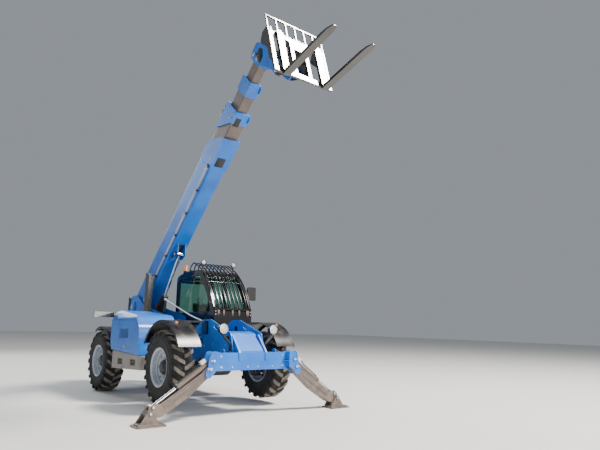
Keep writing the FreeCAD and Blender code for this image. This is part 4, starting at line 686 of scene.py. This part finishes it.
def head_trim():
    # cheek faces stand at x = 0.10825; a dark inset panel on each stands in for the slot as painted
    # shade
    face = 0.10825
    p = Piece(BOOM)
    for s in (1, -1):
        x0, x1 = sorted((s * (face - 0.001), s * (face + 0.004)))
        p.plate("x", [(-6.53, -0.20), (-6.50, -0.03), (-6.60, 0.06), (-6.74, 0.05),
                      (-6.76, -0.06), (-6.66, -0.19)], x0, x1, 0.0015)
    p.done("head_slot_shade", "plate", "inner")
    p = Piece(BOOM)
    for s in (1, -1):
        p.pin((s * (face + 0.026), s * 0.139), HEAD_PIN.y, HEAD_PIN.z, 0.034, sides=28, edge=0.002)
        for y, z in ring_of(6, 0.054):
            p.bolt((s * (face + 0.028), HEAD_PIN.y + y, HEAD_PIN.z + z), (s, 0, 0), 0.006, 0.005)
        p.pin((s * (face + 0.010), s * (face + 0.020)), *TILT_BASE, 0.040, sides=28, edge=0.002)
    p.done("head_pins", "zinc", "inner")
    # pipes that lead from the inner section's mouth down the head
    p = Piece(BOOM)
    for x in (-0.097, -0.076, 0.076, 0.097):
        p.pipe([(x, -6.845, 0.10), (x, -6.862, 0.02), (x, -6.866, -0.12), (x, -6.866, -0.30),
                (x, -6.862, -0.36)], 0.010)
    for s in (1, -1):
        p.block(span(s, 0.064, 0.106), (-6.876, -6.846), (0.075, 0.115), 0.004)
        p.block(span(s, 0.064, 0.106), (-6.876, -6.846), (-0.40, -0.345), 0.004)
    p.done("head_pipes", "satin_black", "inner")


boom_trim()
head_trim()


# Carriage

def carriage_trim():
    back = FORK_BACK_Y + 0.050 + 0.045
    p = Piece(TOOL)
    for s in (1, -1):
        for z in (FORK_HEEL_Z + 0.11, FORK_HEEL_Z + 0.86):
            for x in (0.22, 0.33, 0.50):
                p.bolt((s * x, back, z), (0, 1, 0), 0.011, 0.009)
        p.pin((s * 0.188, s * 0.198), 0, 0, 0.045, sides=28, edge=0.003)
        # locking pin of each fork
        p.rod((s * 0.411, FORK_BACK_Y + 0.03, FORK_HEEL_Z + 0.93),
              (s * 0.411, FORK_BACK_Y + 0.03, FORK_HEEL_Z + 0.985), 0.010, sides=14, edge=0.002)
        p.pin((s * 0.086, s * 0.092), -0.150, 0.260, 0.030, edge=0.002)
    p.done("carriage_bolts", "zinc", "tool")
    p = Piece(TOOL)
    p.block((0.195, 0.245), (back, back + 0.05), (0.08, 0.20), 0.004)
    for z in (0.11, 0.17):
        p.pin((0.245, 0.275), back + 0.026, z, 0.013, sides=16, edge=0.002)
    p.block((-0.245, -0.195), (back, back + 0.04), (0.02, 0.16), 0.004)
    p.done("coupler_block", "satin_black", "tool")
    p = Piece(TOOL)
    for s in (1, -1):
        x = s * 0.411
        for z in (FORK_HEEL_Z + 0.12, FORK_HEEL_Z + 0.80):
            p.block((x - 0.066, x + 0.066), (FORK_BACK_Y - 0.001, FORK_BACK_Y + 0.002),
                    (z - 0.003, z + 0.003), 0.001)
    p.done("fork_weld_lines", "fork", "tool")


carriage_trim()


# Lift and tilt cylinders

def cylinder_trim():
    p = Piece(LIFT)
    p.lathe([(1.325, 0.070), (1.330, 0.076), (1.372, 0.076), (1.384, 0.066), (1.388, 0.044),
             (1.384, 0.038), (1.325, 0.060)], (0, 0, 0), (0, 1, 0), 40, closed=True)
    p.block((-0.115, -0.062), (0.98, 1.16), (-0.045, 0.045), 0.005)
    p.block((-0.100, -0.060), (0.16, 0.26), (-0.035, 0.035), 0.005)
    p.pipe([(-0.088, 1.02, 0.0), (-0.090, 0.80, 0.0), (-0.090, 0.45, 0.0), (-0.085, 0.24, 0.0)],
           0.012)
    p.pipe([(-0.088, 1.13, 0.0), (-0.092, 1.20, 0.0), (-0.088, 1.29, 0.0), (-0.068, 1.33, 0.0)],
           0.012)
    p.done("lift_lock_valve", "satin_black", "lift_barrel")
    p = Piece(LIFT)
    for y, z in ((1.03, 0.018), (1.11, -0.018)):
        p.pin((-0.114, -0.136), y, z, 0.014, sides=18, edge=0.003)
    p.rod((-0.088, 1.155, 0.028), (-0.088, 1.185, 0.028), 0.011, sides=16, edge=0.002)
    p.done("lift_valve_caps", "red", "lift_barrel")
    p = Piece(LIFT)
    for y, z in ring_of(8, 0.056):
        p.bolt((y, 1.386, z), (0, 1, 0), 0.006, 0.005)
    p.done("lift_gland_bolts", "zinc", "lift_barrel")


cylinder_trim()


# Stabilisers

def stabiliser_trim(tag, flip):
    jack = along(JACK_PIN, JACK_EYE, flip)
    leg = along(LEG_PIN, FOOT_PIN, flip)
    spot = CHASSIS @ (FLIP if flip else Matrix())
    p = Piece(jack)
    p.block((0.090, 0.185), (-0.034, 0.034), (0.044, 0.104), 0.005)
    p.pin((0.185, 0.205), 0.012, 0.074, 0.012, sides=18, edge=0.002)
    p.done("stabiliser_valve_" + tag, "white", "leg_barrel_" + tag)
    p = Piece(jack)
    end = JACK_LEN * JACK_SHARE
    p.pipe([(0.170, -0.014, 0.086), (0.215, -0.014, 0.092), (0.260, -0.014, 0.070),
            (0.330, -0.014, 0.062), (end - 0.10, -0.014, 0.062), (end - 0.045, -0.014, 0.052)],
           0.009)
    for x in (0.118, 0.150):
        p.rod((x, 0.030, 0.074), (x, 0.054, 0.074), 0.010, sides=16, edge=0.002)
    p.lathe([(end - 0.012, 0.053), (end - 0.008, 0.0565), (end + 0.004, 0.055),
             (end + 0.008, 0.040), (end + 0.004, 0.028), (end - 0.012, 0.040)],
            (0, 0, 0), (1, 0, 0), 36, closed=True)
    p.done("stabiliser_hose_" + tag, "rubber", "leg_barrel_" + tag)
    # pin ends and their keeper plates on the ears
    y_front = LEG_Y - LEG_HALF - EAR_GAP - EAR_T
    p = Piece(spot)
    for pin, r in ((LEG_PIN, LEG_PIN_R), (JACK_PIN, JACK_PIN_R)):
        p.rod((pin.x, y_front - 0.012, pin.z), (pin.x, y_front - 0.020, pin.z), r * 0.9,
              sides=24, edge=0.003)
        p.block((pin.x + r * 0.7, pin.x + r * 1.1 + 0.030), (y_front - 0.008, y_front),
                (pin.z - 0.014, pin.z + 0.014), 0.002)
        p.bolt((pin.x + r * 1.1 + 0.018, y_front - 0.008, pin.z), (0, -1, 0), 0.007, 0.006)
    for z in (0.66, 0.83):
        p.bolt((0.62, BEAM_FRONT, z), (0, -1, 0), 0.011, 0.009)
    p.done("ear_pins_" + tag, "zinc")
    p = Piece(leg)
    length = (FOOT_PIN - LEG_PIN).length
    for side in (-1, 1):
        y = side * LEG_HALF
        p.rod((0, y, 0), (0, y + side * 0.004, 0), 0.052, sides=28, edge=0.001)
        p.rod((length, y, 0), (length, y + side * 0.004, 0), 0.042, sides=28, edge=0.001)
        x0, x1 = 0.22, length - 0.22
        p.plate("y", [(x0, -0.070), (x0, -0.020), (x1, 0.000), (x1, -0.070)],
                *sorted((y, y + side * 0.006)), 0.002)
    p.done("leg_bosses_" + tag, "taupe", "leg_" + tag)
    p = Piece(leg)
    for side in (-1, 1):
        y = side * (LEG_HALF + 0.012)
        p.rod((length - EYE_BACK, y, EYE_UP), (length - EYE_BACK, y + side * 0.006, EYE_UP),
              0.020, edge=0.002)
    p.done("leg_eye_pins_" + tag, "zinc", "leg_" + tag)
    p = Piece(spot @ Matrix.Translation(FOOT_PIN))
    for x in (-0.185, 0.185):
        for y in (-0.165, 0.045):
            p.bolt((x, y, -FOOT_H + 0.023), (0, 0, 1), 0.010, 0.008)
    p.rod((0, -0.114, 0), (0, -0.118, 0), 0.019, sides=22, edge=0.002)
    p.done("pad_bolts_" + tag, "zinc", "pad_" + tag)


for tag, flip in SIDES:
    stabiliser_trim(tag, flip)


# Nose, lamps and beam

def lamp_trim():
    for name, xs, y, z, r in (("head", (-LAMP_X, LAMP_X), LAMP_Y, LAMP_Z, 0.065),
                              ("work", (CAB_IN + 0.072, CAB_OUT - 0.072), 1.372, 2.705, 0.042)):
        glow = Piece()
        bezel = Piece()
        for x in xs:
            glow.lathe([(-0.002, r), (0.006, r * 0.97), (0.012, r * 0.7), (0.014, 0.0)],
                       (x, y, z), (0, -1, 0), 36)
            bezel.lathe([(-0.006, r + 0.001), (-0.006, r + 0.016), (0.008, r + 0.014),
                         (0.010, r + 0.004), (0.004, r + 0.001)], (x, y, z), (0, -1, 0), 40,
                        closed=True)
        glow.done(name + "_lamp_lenses", "lens")
        bezel.done(name + "_lamp_bezels", "zinc" if name == "head" else "black")
    p = Piece()
    for s in (1, -1):
        p.pipe([(s * 0.512, -0.930, 1.205), (s * 0.500, -0.930, 1.160), (s * 0.420, -0.930, 1.080),
                (s * 0.350, -0.925, 1.020), (s * 0.335, -0.900, 0.980), (s * 0.335, -0.880, 0.890)],
               0.022)
        p.block(span(s, 0.300, 0.370), (-0.930, -0.850), (0.883, 0.905), 0.004)
    p.done("lamp_stays", "satin_black")
    # direction lamps on the front guards
    p = Piece()
    for s in (1, -1):
        p.lathe([(0.0, 0.026), (0.030, 0.024), (0.040, 0.014), (0.042, 0.0)],
                (s * 1.05, -0.30, 1.349), (0, -0.4, 0.9), 24)
    p.done("guard_lamps", "amber")


def nose_trim():
    p = Piece()
    for s in (1, -1):
        x = s * NOSE_X
        for y, z in ((-0.72, 1.16), (-0.72, 1.00), (-0.52, 1.20), (0.20, 1.32), (0.42, 1.14),
                     (-0.60, 0.72), (-0.30, 1.02), (0.02, 0.98)):
            p.bolt((x, y, z), (s, 0, 0), 0.010, 0.008)
    for s in (1, -1):
        for x in (0.10, 0.40, 0.60):
            p.bolt((s * x, BEAM_FRONT, 0.655), (0, -1, 0), 0.010, 0.008)
    p.done("frame_bolts", "zinc")
    # lifting eyes on the beam
    p = Piece()
    for s in (1, -1):
        p.plate("x", [(-1.02, 0.883), (-1.02, 0.925), (-0.99, 0.945), (-0.95, 0.945),
                      (-0.92, 0.925), (-0.92, 0.883)], s * 0.52 - 0.008, s * 0.52 + 0.008, 0.003)
    p.done("beam_lifting_eyes", "blue")
    # slanting stay beside the boom, from the tower's post to the nose plate
    p = Piece()
    p.pipe([(-0.268, 1.890, 1.905), (-0.268, 1.20, 1.690), (-0.282, 0.60, 1.508),
            (-0.300, 0.150, 1.420)], 0.013)
    p.pin((-0.285, -0.250), 1.905, 1.909, 0.024, edge=0.003)
    p.pin((-0.318, -0.286), 0.130, 1.416, 0.022, edge=0.003)
    p.done("side_stay", "pipe")
    p = Piece()
    p.plate("x", [(1.90, 1.540), (1.875, 1.90), (1.905, 1.94), (1.94, 1.90), (2.06, 1.570)],
            -0.252, -0.237, 0.003)
    p.block((-0.300, -0.270), (0.085, 0.175), (1.36, 1.41), 0.003)
    p.done("stay_post", "satin_black")


def hose_trim():
    # hoses clipped from the guard channel down the tower into the frame
    p = Piece()
    for k in range(4):
        y = WHEELBASE - 0.43 + k * 0.034
        x = -0.285 - 0.016 * (k % 2)
        p.pipe([(x, y, 2.44), (x, y, 2.0), (x, y, 1.60), (x + 0.004, y - 0.02, 1.46),
                (x + 0.010, y - 0.12, 1.30), (-0.262, y - 0.34, 1.20 - 0.03 * k),
                (-0.262, y - 0.60, 1.14 - 0.03 * k), (-0.262, y - 0.85, 1.10 - 0.03 * k)],
               0.0125)
    p.done("tower_hoses", "rubber")
    p = Piece()
    for y, z in ((2.05, 1.085), (1.80, 1.035)):
        p.block((-0.280, -0.236), (y - 0.015, y + 0.015), (z - 0.02, z + 0.16), 0.004)
    p.block((-0.330, -0.250), (1.60, 1.78), (0.98, 1.18), 0.006)
    for k in range(3):
        p.rod((-0.290, 1.64 + k * 0.045, 1.18), (-0.290, 1.64 + k * 0.045, 1.225), 0.013, sides=18,
              edge=0.002)
    p.done("valve_bank", "satin_black")
    p = Piece()
    for k in range(3):
        p.pin((-0.330, -0.346), 1.64 + k * 0.045, 1.08, 0.013, sides=18, edge=0.003)
    p.done("valve_caps", "red")
    # black bracket and roller behind the tower's top
    p = Piece()
    for s in (1, -1):
        p.plate("x", [(WHEELBASE + 0.82, 1.98), (WHEELBASE + 0.84, 2.055),
                      (WHEELBASE + 0.93, 2.060), (WHEELBASE + 0.955, 1.76),
                      (WHEELBASE + 0.90, 1.74)], *span(s, 0.2365, 0.248), 0.003)
        p.pin((s * 0.240, s * 0.262), TOWER_TOP_Y, 2.02, 0.024, edge=0.003)
    p.done("tower_bracket", "satin_black")
    p = Piece()
    for s in (1, -1):
        p.pin((s * 0.276, s * 0.284), WHEELBASE + 0.617, 1.828, 0.046, sides=36, edge=0.003)
    p.done("boom_pin_ends", "zinc")


lamp_trim()
nose_trim()
hose_trim()


# Cab

def pad_shape(name, outline, half, cut):
    """Padded cushion: a bevelled slab swollen by a short cloth run."""
    b = Piece(CHASSIS @ Matrix.Translation((CAB_MID, 0, CAB_DECK)))
    b.plate("x", outline, -half, half, 0.022)
    o = b.done(name, "cloth", crease=80)
    rm = o.modifiers.new("even", "REMESH")
    rm.mode = "VOXEL"
    rm.voxel_size = 0.006
    rm.use_smooth_shade = True
    apply_all(o)
    rest = [v.co.copy() for v in o.data.vertices]
    cl = o.modifiers.new("swell", "CLOTH")
    cl.settings.quality = 5
    cl.settings.use_pressure = True
    cl.settings.uniform_pressure_force = 4.0
    cl.settings.effector_weights.gravity = 0.0
    cl.point_cache.frame_start, cl.point_cache.frame_end = 1, 20
    for f in range(1, 21):
        bpy.context.scene.frame_set(f)
    apply_all(o)
    bpy.context.scene.frame_set(1)
    # the cover can't leave the foam by more than the cap, and the sewn lines hold it in
    limit = 0.024
    inverse = (CHASSIS @ Matrix.Translation((CAB_MID, 0, CAB_DECK))).inverted()
    for v, was in zip(o.data.vertices, rest):
        step = v.co - was
        if step.length > limit:
            v.co = was + step * (limit / step.length)
        q = inverse @ v.co
        for line in cut:
            gap = abs(line(q))
            if gap < 0.012:
                dent = 0.006 * (1 - gap / 0.012)
                v.co -= v.normal * dent
    o.data.update()
    return o


def apply_all(o):
    """Bake an object's modifiers into its mesh, in place."""
    graph = bpy.context.evaluated_depsgraph_get()
    me = bpy.data.meshes.new_from_object(o.evaluated_get(graph), depsgraph=graph)
    old = o.data
    o.modifiers.clear()
    o.data = me
    if not me.materials:
        me.materials.append(MAT["cloth"])
    bpy.data.meshes.remove(old)
    me.name = o.name


def seat_trim():
    lift = SEAT_LIFT
    cushion = pad_shape("seat_cushion",
                        [(1.515, lift + 0.012), (1.510, lift + 0.085), (1.575, lift + 0.112),
                         (1.945, lift + 0.092), (1.985, lift + 0.062), (1.985, lift + 0.012)],
                        0.232,
                        [lambda q: q.x - 0.15, lambda q: q.x + 0.15, lambda q: q.y - 1.66])
    back = pad_shape("seat_back",
                     [(1.925, lift + 0.115), (1.998, lift + 0.105), (2.118, lift + 0.655),
                      (2.095, lift + 0.735), (2.045, lift + 0.715)],
                     0.216,
                     [lambda q: q.x - 0.14, lambda q: q.x + 0.14, lambda q: q.z - lift - 0.42])
    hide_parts("seat")
    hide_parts("seat")
    place = CHASSIS @ Matrix.Translation((CAB_MID, 0, CAB_DECK))
    p = Piece(place)
    p.block((-0.185, 0.185), (1.565, 1.975), (0.001, 0.06), 0.006)
    for k in range(7):
        z = 0.062 + k * 0.028
        p.block((-0.165 + 0.006 * (k % 2), 0.165 - 0.006 * (k % 2)),
                (1.585 + 0.006 * (k % 2), 1.955 - 0.006 * (k % 2)), (z, z + 0.026), 0.008)
    p.block((-0.205, 0.205), (1.53, 1.99), (0.258, 0.338), 0.014)
    p.plate("x", [(1.985, 0.30), (2.030, 0.30), (2.150, 1.02), (2.132, 1.07), (2.112, 1.04)],
            -0.19, 0.19, 0.010)
    for s in (1, -1):
        p.pipe([(s * 0.255, 2.02, 0.36), (s * 0.262, 2.03, 0.52), (s * 0.262, 1.99, 0.60),
                (s * 0.262, 1.80, 0.60), (s * 0.262, 1.64, 0.595)], 0.016)
        p.block(span(s, 0.232, 0.290), (1.62, 1.90), (0.602, 0.640), 0.014)
        p.rod((s * 0.262, 1.70, 0.636), (s * 0.262, 1.69, 0.74), 0.009, sides=14)
        p.lathe([(0.0, 0.012), (0.020, 0.021), (0.055, 0.023), (0.078, 0.014), (0.082, 0.0)],
                (s * 0.262, 1.69, 0.735), (0, -0.1, 1), 24)
    p.done("seat_frame", "plastic")
    p = Piece(place)
    p.lathe([(0.0, 0.0), (0.004, 0.070), (0.018, 0.082), (0.046, 0.082), (0.060, 0.070),
             (0.064, 0.0)], (0.0, 2.085, 1.135), (0, 1, 0.15), 32)
    p.done("seat_headrest", "pale")
    p = Piece(place)
    for x in (-0.03, 0.03):
        p.rod((x, 2.118, 1.000), (x, 2.118, 1.110), 0.007, sides=12)
    p.done("headrest_posts", "zinc")
    p = Piece(place)
    p.plate("x", [(1.60, lift + 0.118), (1.60, lift + 0.121), (1.98, lift + 0.104),
                  (1.98, lift + 0.101)], -0.022, 0.022)
    p.block((-0.030, 0.030), (1.74, 1.82), (lift + 0.112, lift + 0.130), 0.004)
    p.done("lap_belt", "rubber")


def controls_trim():
    p = Piece()
    y0 = CAB_FRONT + CAB_WALL + 0.03
    z0 = CAB_DECK
    # pedals, mat, levers by the wheel and a blank display
    for x in (CAB_MID - 0.13, CAB_MID + 0.06, CAB_MID + 0.17):
        p.block((x - 0.035, x + 0.035), (y0 + 0.29, y0 + 0.31), (z0 + 0.06, z0 + 0.17), 0.005,
                Matrix.Rotation(radians(-28), 4, "X"))
        p.rod((x, y0 + 0.20, z0 + 0.22), (x, y0 + 0.30, z0 + 0.12), 0.009, sides=12)
    p.block((CAB_IN + 0.13, CAB_OUT - 0.06), (1.05, 1.55), (z0, z0 + 0.008), 0.002)
    for s in (1, -1):
        p.pipe([(CAB_MID, y0 + 0.37, 1.665), (CAB_MID + s * 0.08, y0 + 0.35, 1.69),
                (CAB_MID + s * 0.19, y0 + 0.35, 1.72)], 0.007)
        p.rod((CAB_MID + s * 0.18, y0 + 0.35, 1.716), (CAB_MID + s * 0.225, y0 + 0.35, 1.73),
              0.012, sides=16, edge=0.003)
    p.rod((CAB_MID, y0 + 0.36, 1.62), (CAB_MID, y0 + 0.41, 1.68), 0.052, 0.044, sides=28,
          edge=0.005)
    p.block((CAB_MID - 0.16, CAB_MID + 0.16), (y0 + 0.10, y0 + 0.20), (1.585, 1.655), 0.014,
            Matrix.Rotation(radians(12), 4, "X"))
    p.block((CAB_IN + 0.075, CAB_IN + 0.125), (1.25, 2.05), (z0 + 0.30, z0 + 0.62), 0.012)
    p.pipe([(CAB_IN + 0.10, 1.38, z0 + 0.60), (CAB_IN + 0.11, 1.37, z0 + 0.68),
            (CAB_IN + 0.12, 1.35, z0 + 0.78)], 0.008)
    p.lathe([(0.0, 0.010), (0.018, 0.022), (0.050, 0.022), (0.066, 0.0)],
            (CAB_IN + 0.12, 1.35, z0 + 0.77), (0.05, -0.1, 1), 24)
    p.done("cab_controls", "plastic")
    p = Piece()
    p.block((CAB_MID - 0.12, CAB_MID + 0.12), (y0 + 0.196, y0 + 0.202), (1.60, 1.645), 0.002,
            Matrix.Rotation(radians(12), 4, "X"))
    p.done("dash_display", "plate")


def cab_trim():
    # rubber seal round the side pane that faces the boom
    p = Piece()
    pane = [(0.872, 1.642), (1.042, 2.008), (1.371, 2.428), (2.338, 2.398), (2.338, 1.642)]
    for a, b in zip(pane, pane[1:] + pane[:1]):
        p.rod((CAB_IN + 0.006, a[0], a[1]), (CAB_IN + 0.006, b[0], b[1]), 0.009, sides=10)
    # wiper on the windscreen
    foot = Vector((CAB_MID + 0.10, 0.772, 1.735))
    climb = Vector((0, 0.536, 0.741)).normalized()
    out = Vector((0, -0.81, 0.586))
    p.rod(foot, foot + out * 0.030, 0.016, sides=18, edge=0.003)
    tip = foot + climb * 0.50 + out * 0.020 + Vector((-0.12, 0, 0))
    p.rod(foot + out * 0.024, tip, 0.007, 0.004, sides=10)
    p.rod(tip - climb * 0.24 + out * -0.008, tip + climb * 0.24 - out * 0.008, 0.006, sides=8)
    # beacon base on the roof
    x, y = CAB_IN + 0.145, CAB_REAR - 0.120
    p.lathe([(0.0, 0.0), (0.0, 0.056), (0.060, 0.054), (0.120, 0.051), (0.124, 0.0)],
            (x, y, 2.486), (0, 0, 1), 32)
    p.done("cab_rubber", "rubber")
    p = Piece()
    for k in range(6):
        p.lathe([(0.0, 0.0462), (0.004, 0.0485), (0.008, 0.0462)], (x, y, 2.622 + k * 0.018),
                (0, 0, 1), 32, closed=True)
    p.done("beacon_ribs", "amber")
    # guard's foot brackets below the bars
    p = Piece()
    for gx, w in ((CAB_IN + 0.10, 0.05), (CAB_IN + 0.22, 0.04), (CAB_MID - 0.02, 0.04),
                  (CAB_MID + 0.14, 0.04), (CAB_OUT - 0.10, 0.07)):
        p.plate("x", [(0.708, 1.672), (0.702, 1.600), (0.716, 1.560), (0.7195, 1.560),
                      (0.7195, 1.672)], gx - w / 2, gx + w / 2, 0.002)
    p.done("guard_feet", "bracket")
    p = Piece()
    for s_x in (CAB_IN + 0.03, CAB_OUT - 0.03):
        for z in (1.585, 1.645):
            p.bolt((s_x, 0.708, z), (0, -1, 0), 0.008, 0.006)
    p.done("guard_bolts", "zinc")
    # grab rail beside the door and rear view mirror faces
    p = Piece()
    p.pipe([(1.152, 0.905, 1.20), (1.178, 0.898, 1.22), (1.182, 0.890, 1.40),
            (1.182, 0.880, 1.62), (1.178, 0.890, 1.70), (1.152, 0.905, 1.72)], 0.011)
    p.done("grab_rail", "black")
    p = Piece()
    p.block((1.222, 1.403), (1.000, 1.005), (1.930, 2.180), 0.004)
    p.block((-1.520, -1.146), (CAB_REAR + 0.047, CAB_REAR + 0.0495), (1.532, 1.618), 0.001)
    p.done("mirror_faces", "mirror")


seat_trim()
controls_trim()
cab_trim()


# Engine side, tail and steps

def engine_trim():
    p = Piece()
    p.block((-1.00, -0.60), (1.20, 1.78), (1.328, 1.395), 0.018)
    p.block((-0.92, -0.68), (1.84, 2.12), (1.328, 1.380), 0.014)
    p.lathe([(0.0, 0.0), (0.0, 0.105), (0.030, 0.112), (0.29, 0.112), (0.33, 0.095),
             (0.33, 0.0)], (-0.55, 1.42, 1.385), (0, 1, 0), 36)
    p.done("engine_covers", "plastic")
    p = Piece()
    for k in range(5):
        y = 1.27 + k * 0.11
        p.block((-1.058, -1.038), (y, y + 0.07), (1.02, 1.26), 0.006)
    p.lathe([(0.0, 0.0), (0.0, 0.046), (0.012, 0.050), (0.12, 0.050), (0.135, 0.040),
             (0.135, 0.0)], (-1.052, 1.90, 1.14), (-0.35, 0, -1), 32)
    for z, r in ((1.04, 0.070), (1.20, 0.050)):
        p.lathe([(0.0, 0.0), (0.0, r), (0.012, r - 0.008), (0.024, r), (0.024, 0.0)],
                (-0.75, 1.089, z), (0, -1, 0), 36)
    p.done("engine_castings", "alloy")
    p = Piece()
    p.pipe([(-0.98, 1.20, 1.34), (-1.04, 1.16, 1.30), (-1.07, 1.20, 1.20), (-1.07, 1.40, 0.99),
            (-1.07, 1.80, 0.97), (-1.04, 2.10, 1.02)], 0.020)
    p.pipe([(-0.60, 1.75, 1.46), (-0.62, 1.84, 1.44), (-0.66, 1.92, 1.40)], 0.032)
    p.done("engine_hoses", "rubber")


def lid_trim():
    p = Piece()
    p.lathe([(-0.004, 0.0), (-0.004, 0.030), (0.003, 0.029), (0.005, 0.022), (0.005, 0.0)],
            (-1.176, 1.66, 0.945), (-1, 0, 0), 32)
    for y in (1.02, 2.36):
        p.pin((-1.171, -1.176), y, 1.02, 0.014, sides=20, edge=0.002)
    p.done("lid_latches", "zinc", "bonnet")
    p = Piece()
    for k in range(7):
        y = 1.53 + k * 0.058
        p.plate("x", [(y, 1.10), (y + 0.026, 1.10), (y + 0.040, 1.28), (y + 0.014, 1.28)],
                -1.1665, -1.1600, 0.0012)
    p.done("lid_grille", "plastic", "bonnet")


def tail_trim():
    tail = TAIL_Y
    p = Piece()
    for s in (1, -1):
        p.block(span(s, 0.60, 0.76), (tail - 0.006, tail + 0.016), (0.98, 1.05), 0.006)
    p.done("tail_lamps", "red_lens")
    p = Piece()
    for s in (1, -1):
        p.block(span(s, 0.585, 0.775), (tail - 0.004, tail + 0.008), (0.965, 1.065), 0.004)
        p.block(span(s, 0.40, 0.46), (tail - 0.004, tail + 0.030), (0.70, 0.80), 0.010)
    p.done("tail_lamp_frames", "plastic")
    p = Piece()
    for s in (1, -1):
        for z in (0.72, 1.10):
            p.bolt((s * 0.52, tail, z), (0, 1, 0), 0.018, 0.014)
    p.done("tail_bolts", "zinc")
    # filler cap, tread bars on the step, and dark sheets inside the sill's vents as painted shade
    p = Piece()
    p.lathe([(0.0, 0.0), (0.0, 0.045), (0.022, 0.045), (0.030, 0.038), (0.030, 0.0)],
            (1.128, 2.10, 0.68), (1, 0, 0), 12)
    for k in range(6):
        y = 0.985 + k * 0.042
        p.block((1.085, 1.148), (y, y + 0.012), (0.584, 0.590), 0.002)
    # dark sheets set just inside the sill face: painted shade in the vent openings
    for y in (1.25, 1.90):
        p.block((-1.128, -1.120), (y - 0.13, y + 0.13), (0.592, 0.718), 0.002)
    p.done("side_fittings", "plastic")
    p = Piece()
    for y in (0.90, 1.55, 2.25):
        for z in (0.565, 0.80 if y > 1.5 else 0.745):
            p.bolt((SILL_X, y, z), (-1, 0, 0), 0.009, 0.007)
    p.done("sill_bolts", "zinc")


def axle_trim():
    for end, y0 in (("front", 0.0), ("rear", WHEELBASE)):
        p = Piece(CHASSIS @ Matrix.Translation((0, y0, REAR.z)))
        for s in (1, -1):
            x = s * (TRACK - 0.122)
            for dy, dz in ring_of(4, 0.040, pi / 4):
                for z, up in ((0.212, 1), (-0.212, -1)):
                    p.bolt((x + dy * 0.8, dz * 0.9, z), (0, 0, up), 0.008, 0.007)
        for dy, dz in ring_of(10, 0.135):
            p.bolt((0.19, dy, dz), (1, 0, 0), 0.009, 0.008)
        p.done("axle_bolts_" + end, "zinc")
        back = 1 if end == "front" else -1
        p = Piece(CHASSIS @ Matrix.Translation((0, y0, REAR.z)))
        p.pin((-0.30, 0.30), back * 0.150, 0.0, 0.036, sides=28, edge=0.004)
        for s in (1, -1):
            p.pin((s * 0.30, s * 0.44), back * 0.150, 0.0, 0.018, sides=20)
            p.block(span(s, 0.16, 0.22), sorted((back * 0.08, back * 0.16)), (-0.04, 0.04), 0.005)
        p.done("steering_ram_" + end, "satin_black")


engine_trim()
lid_trim()
tail_trim()
axle_trim()


# Floor, light and camera

def stage_floor():
    n = Net("floor")
    t = n.noise(1.3, 4.0)
    m = n.surface(color=n.mix(t, srgb(222, 220, 216), srgb(214, 212, 208)), rough=0.75)
    me = bpy.data.meshes.new("floor")
    bm = bmesh.new()
    bmesh.ops.create_grid(bm, x_segments=1, y_segments=1, size=60.0)
    bm.to_mesh(me)
    bm.free()
    o = bpy.data.objects.new("floor", me)
    me.materials.append(m)
    bpy.context.scene.collection.objects.link(o)
    o.location = (0, 0, -0.0015)


def area(name, loc, target, size, power, color=(1, 1, 1)):
    d = bpy.data.lights.new(name, "AREA")
    d.shape = "DISK"
    d.size = size
    d.energy = power
    d.color = color
    o = bpy.data.objects.new(name, d)
    bpy.context.scene.collection.objects.link(o)
    o.location = loc
    o.rotation_euler = (Vector(target) - Vector(loc)).to_track_quat("-Z", "Y").to_euler()


def camera():
    yaw, pitch, roll = 0.674, 0.187, 0.025
    f = Vector((sin(yaw) * cos(pitch), cos(yaw) * cos(pitch),
                sin(pitch)))
    r0 = Vector((cos(yaw), -sin(yaw), 0))
    u0 = r0.cross(f)
    r = r0 * cos(roll) + u0 * sin(roll)
    u = -r0 * sin(roll) + u0 * cos(roll)
    d = bpy.data.cameras.new("camera")
    d.sensor_width = 36.0
    d.lens = 31.74
    d.clip_end = 200.0
    o = bpy.data.objects.new("camera", d)
    bpy.context.scene.collection.objects.link(o)
    m = Matrix((r, u, -f)).transposed().to_4x4()
    m.translation = Vector((-5.154, -8.713 + REAR.y - WHEELBASE, 1.473))
    o.matrix_world = m
    bpy.context.scene.camera = o


stage_floor()
area("key", (9.5, -9.5, 20.0), (0, -1.0, 3.0), 5.5, 12500, (1.0, 0.965, 0.91))
area("front", (4.0, -18.0, 6.0), (0, 0, 2.0), 8.0, 1900, (1.0, 0.98, 0.95))
area("fill", (-13.0, -7.0, 7.0), (0, 0, 2.0), 10.0, 500, (0.84, 0.92, 1.0))
area("back", (-2.0, 15.0, 10.0), (0, 0, 3.0), 8.0, 1300, (0.9, 0.95, 1.0))

world = bpy.data.worlds.new("studio")
bpy.context.scene.world = world
world.use_nodes = True
world.node_tree.nodes["Background"].inputs[0].default_value = (0.80, 0.87, 0.95, 1.0)
world.node_tree.nodes["Background"].inputs[1].default_value = 0.36
camera()
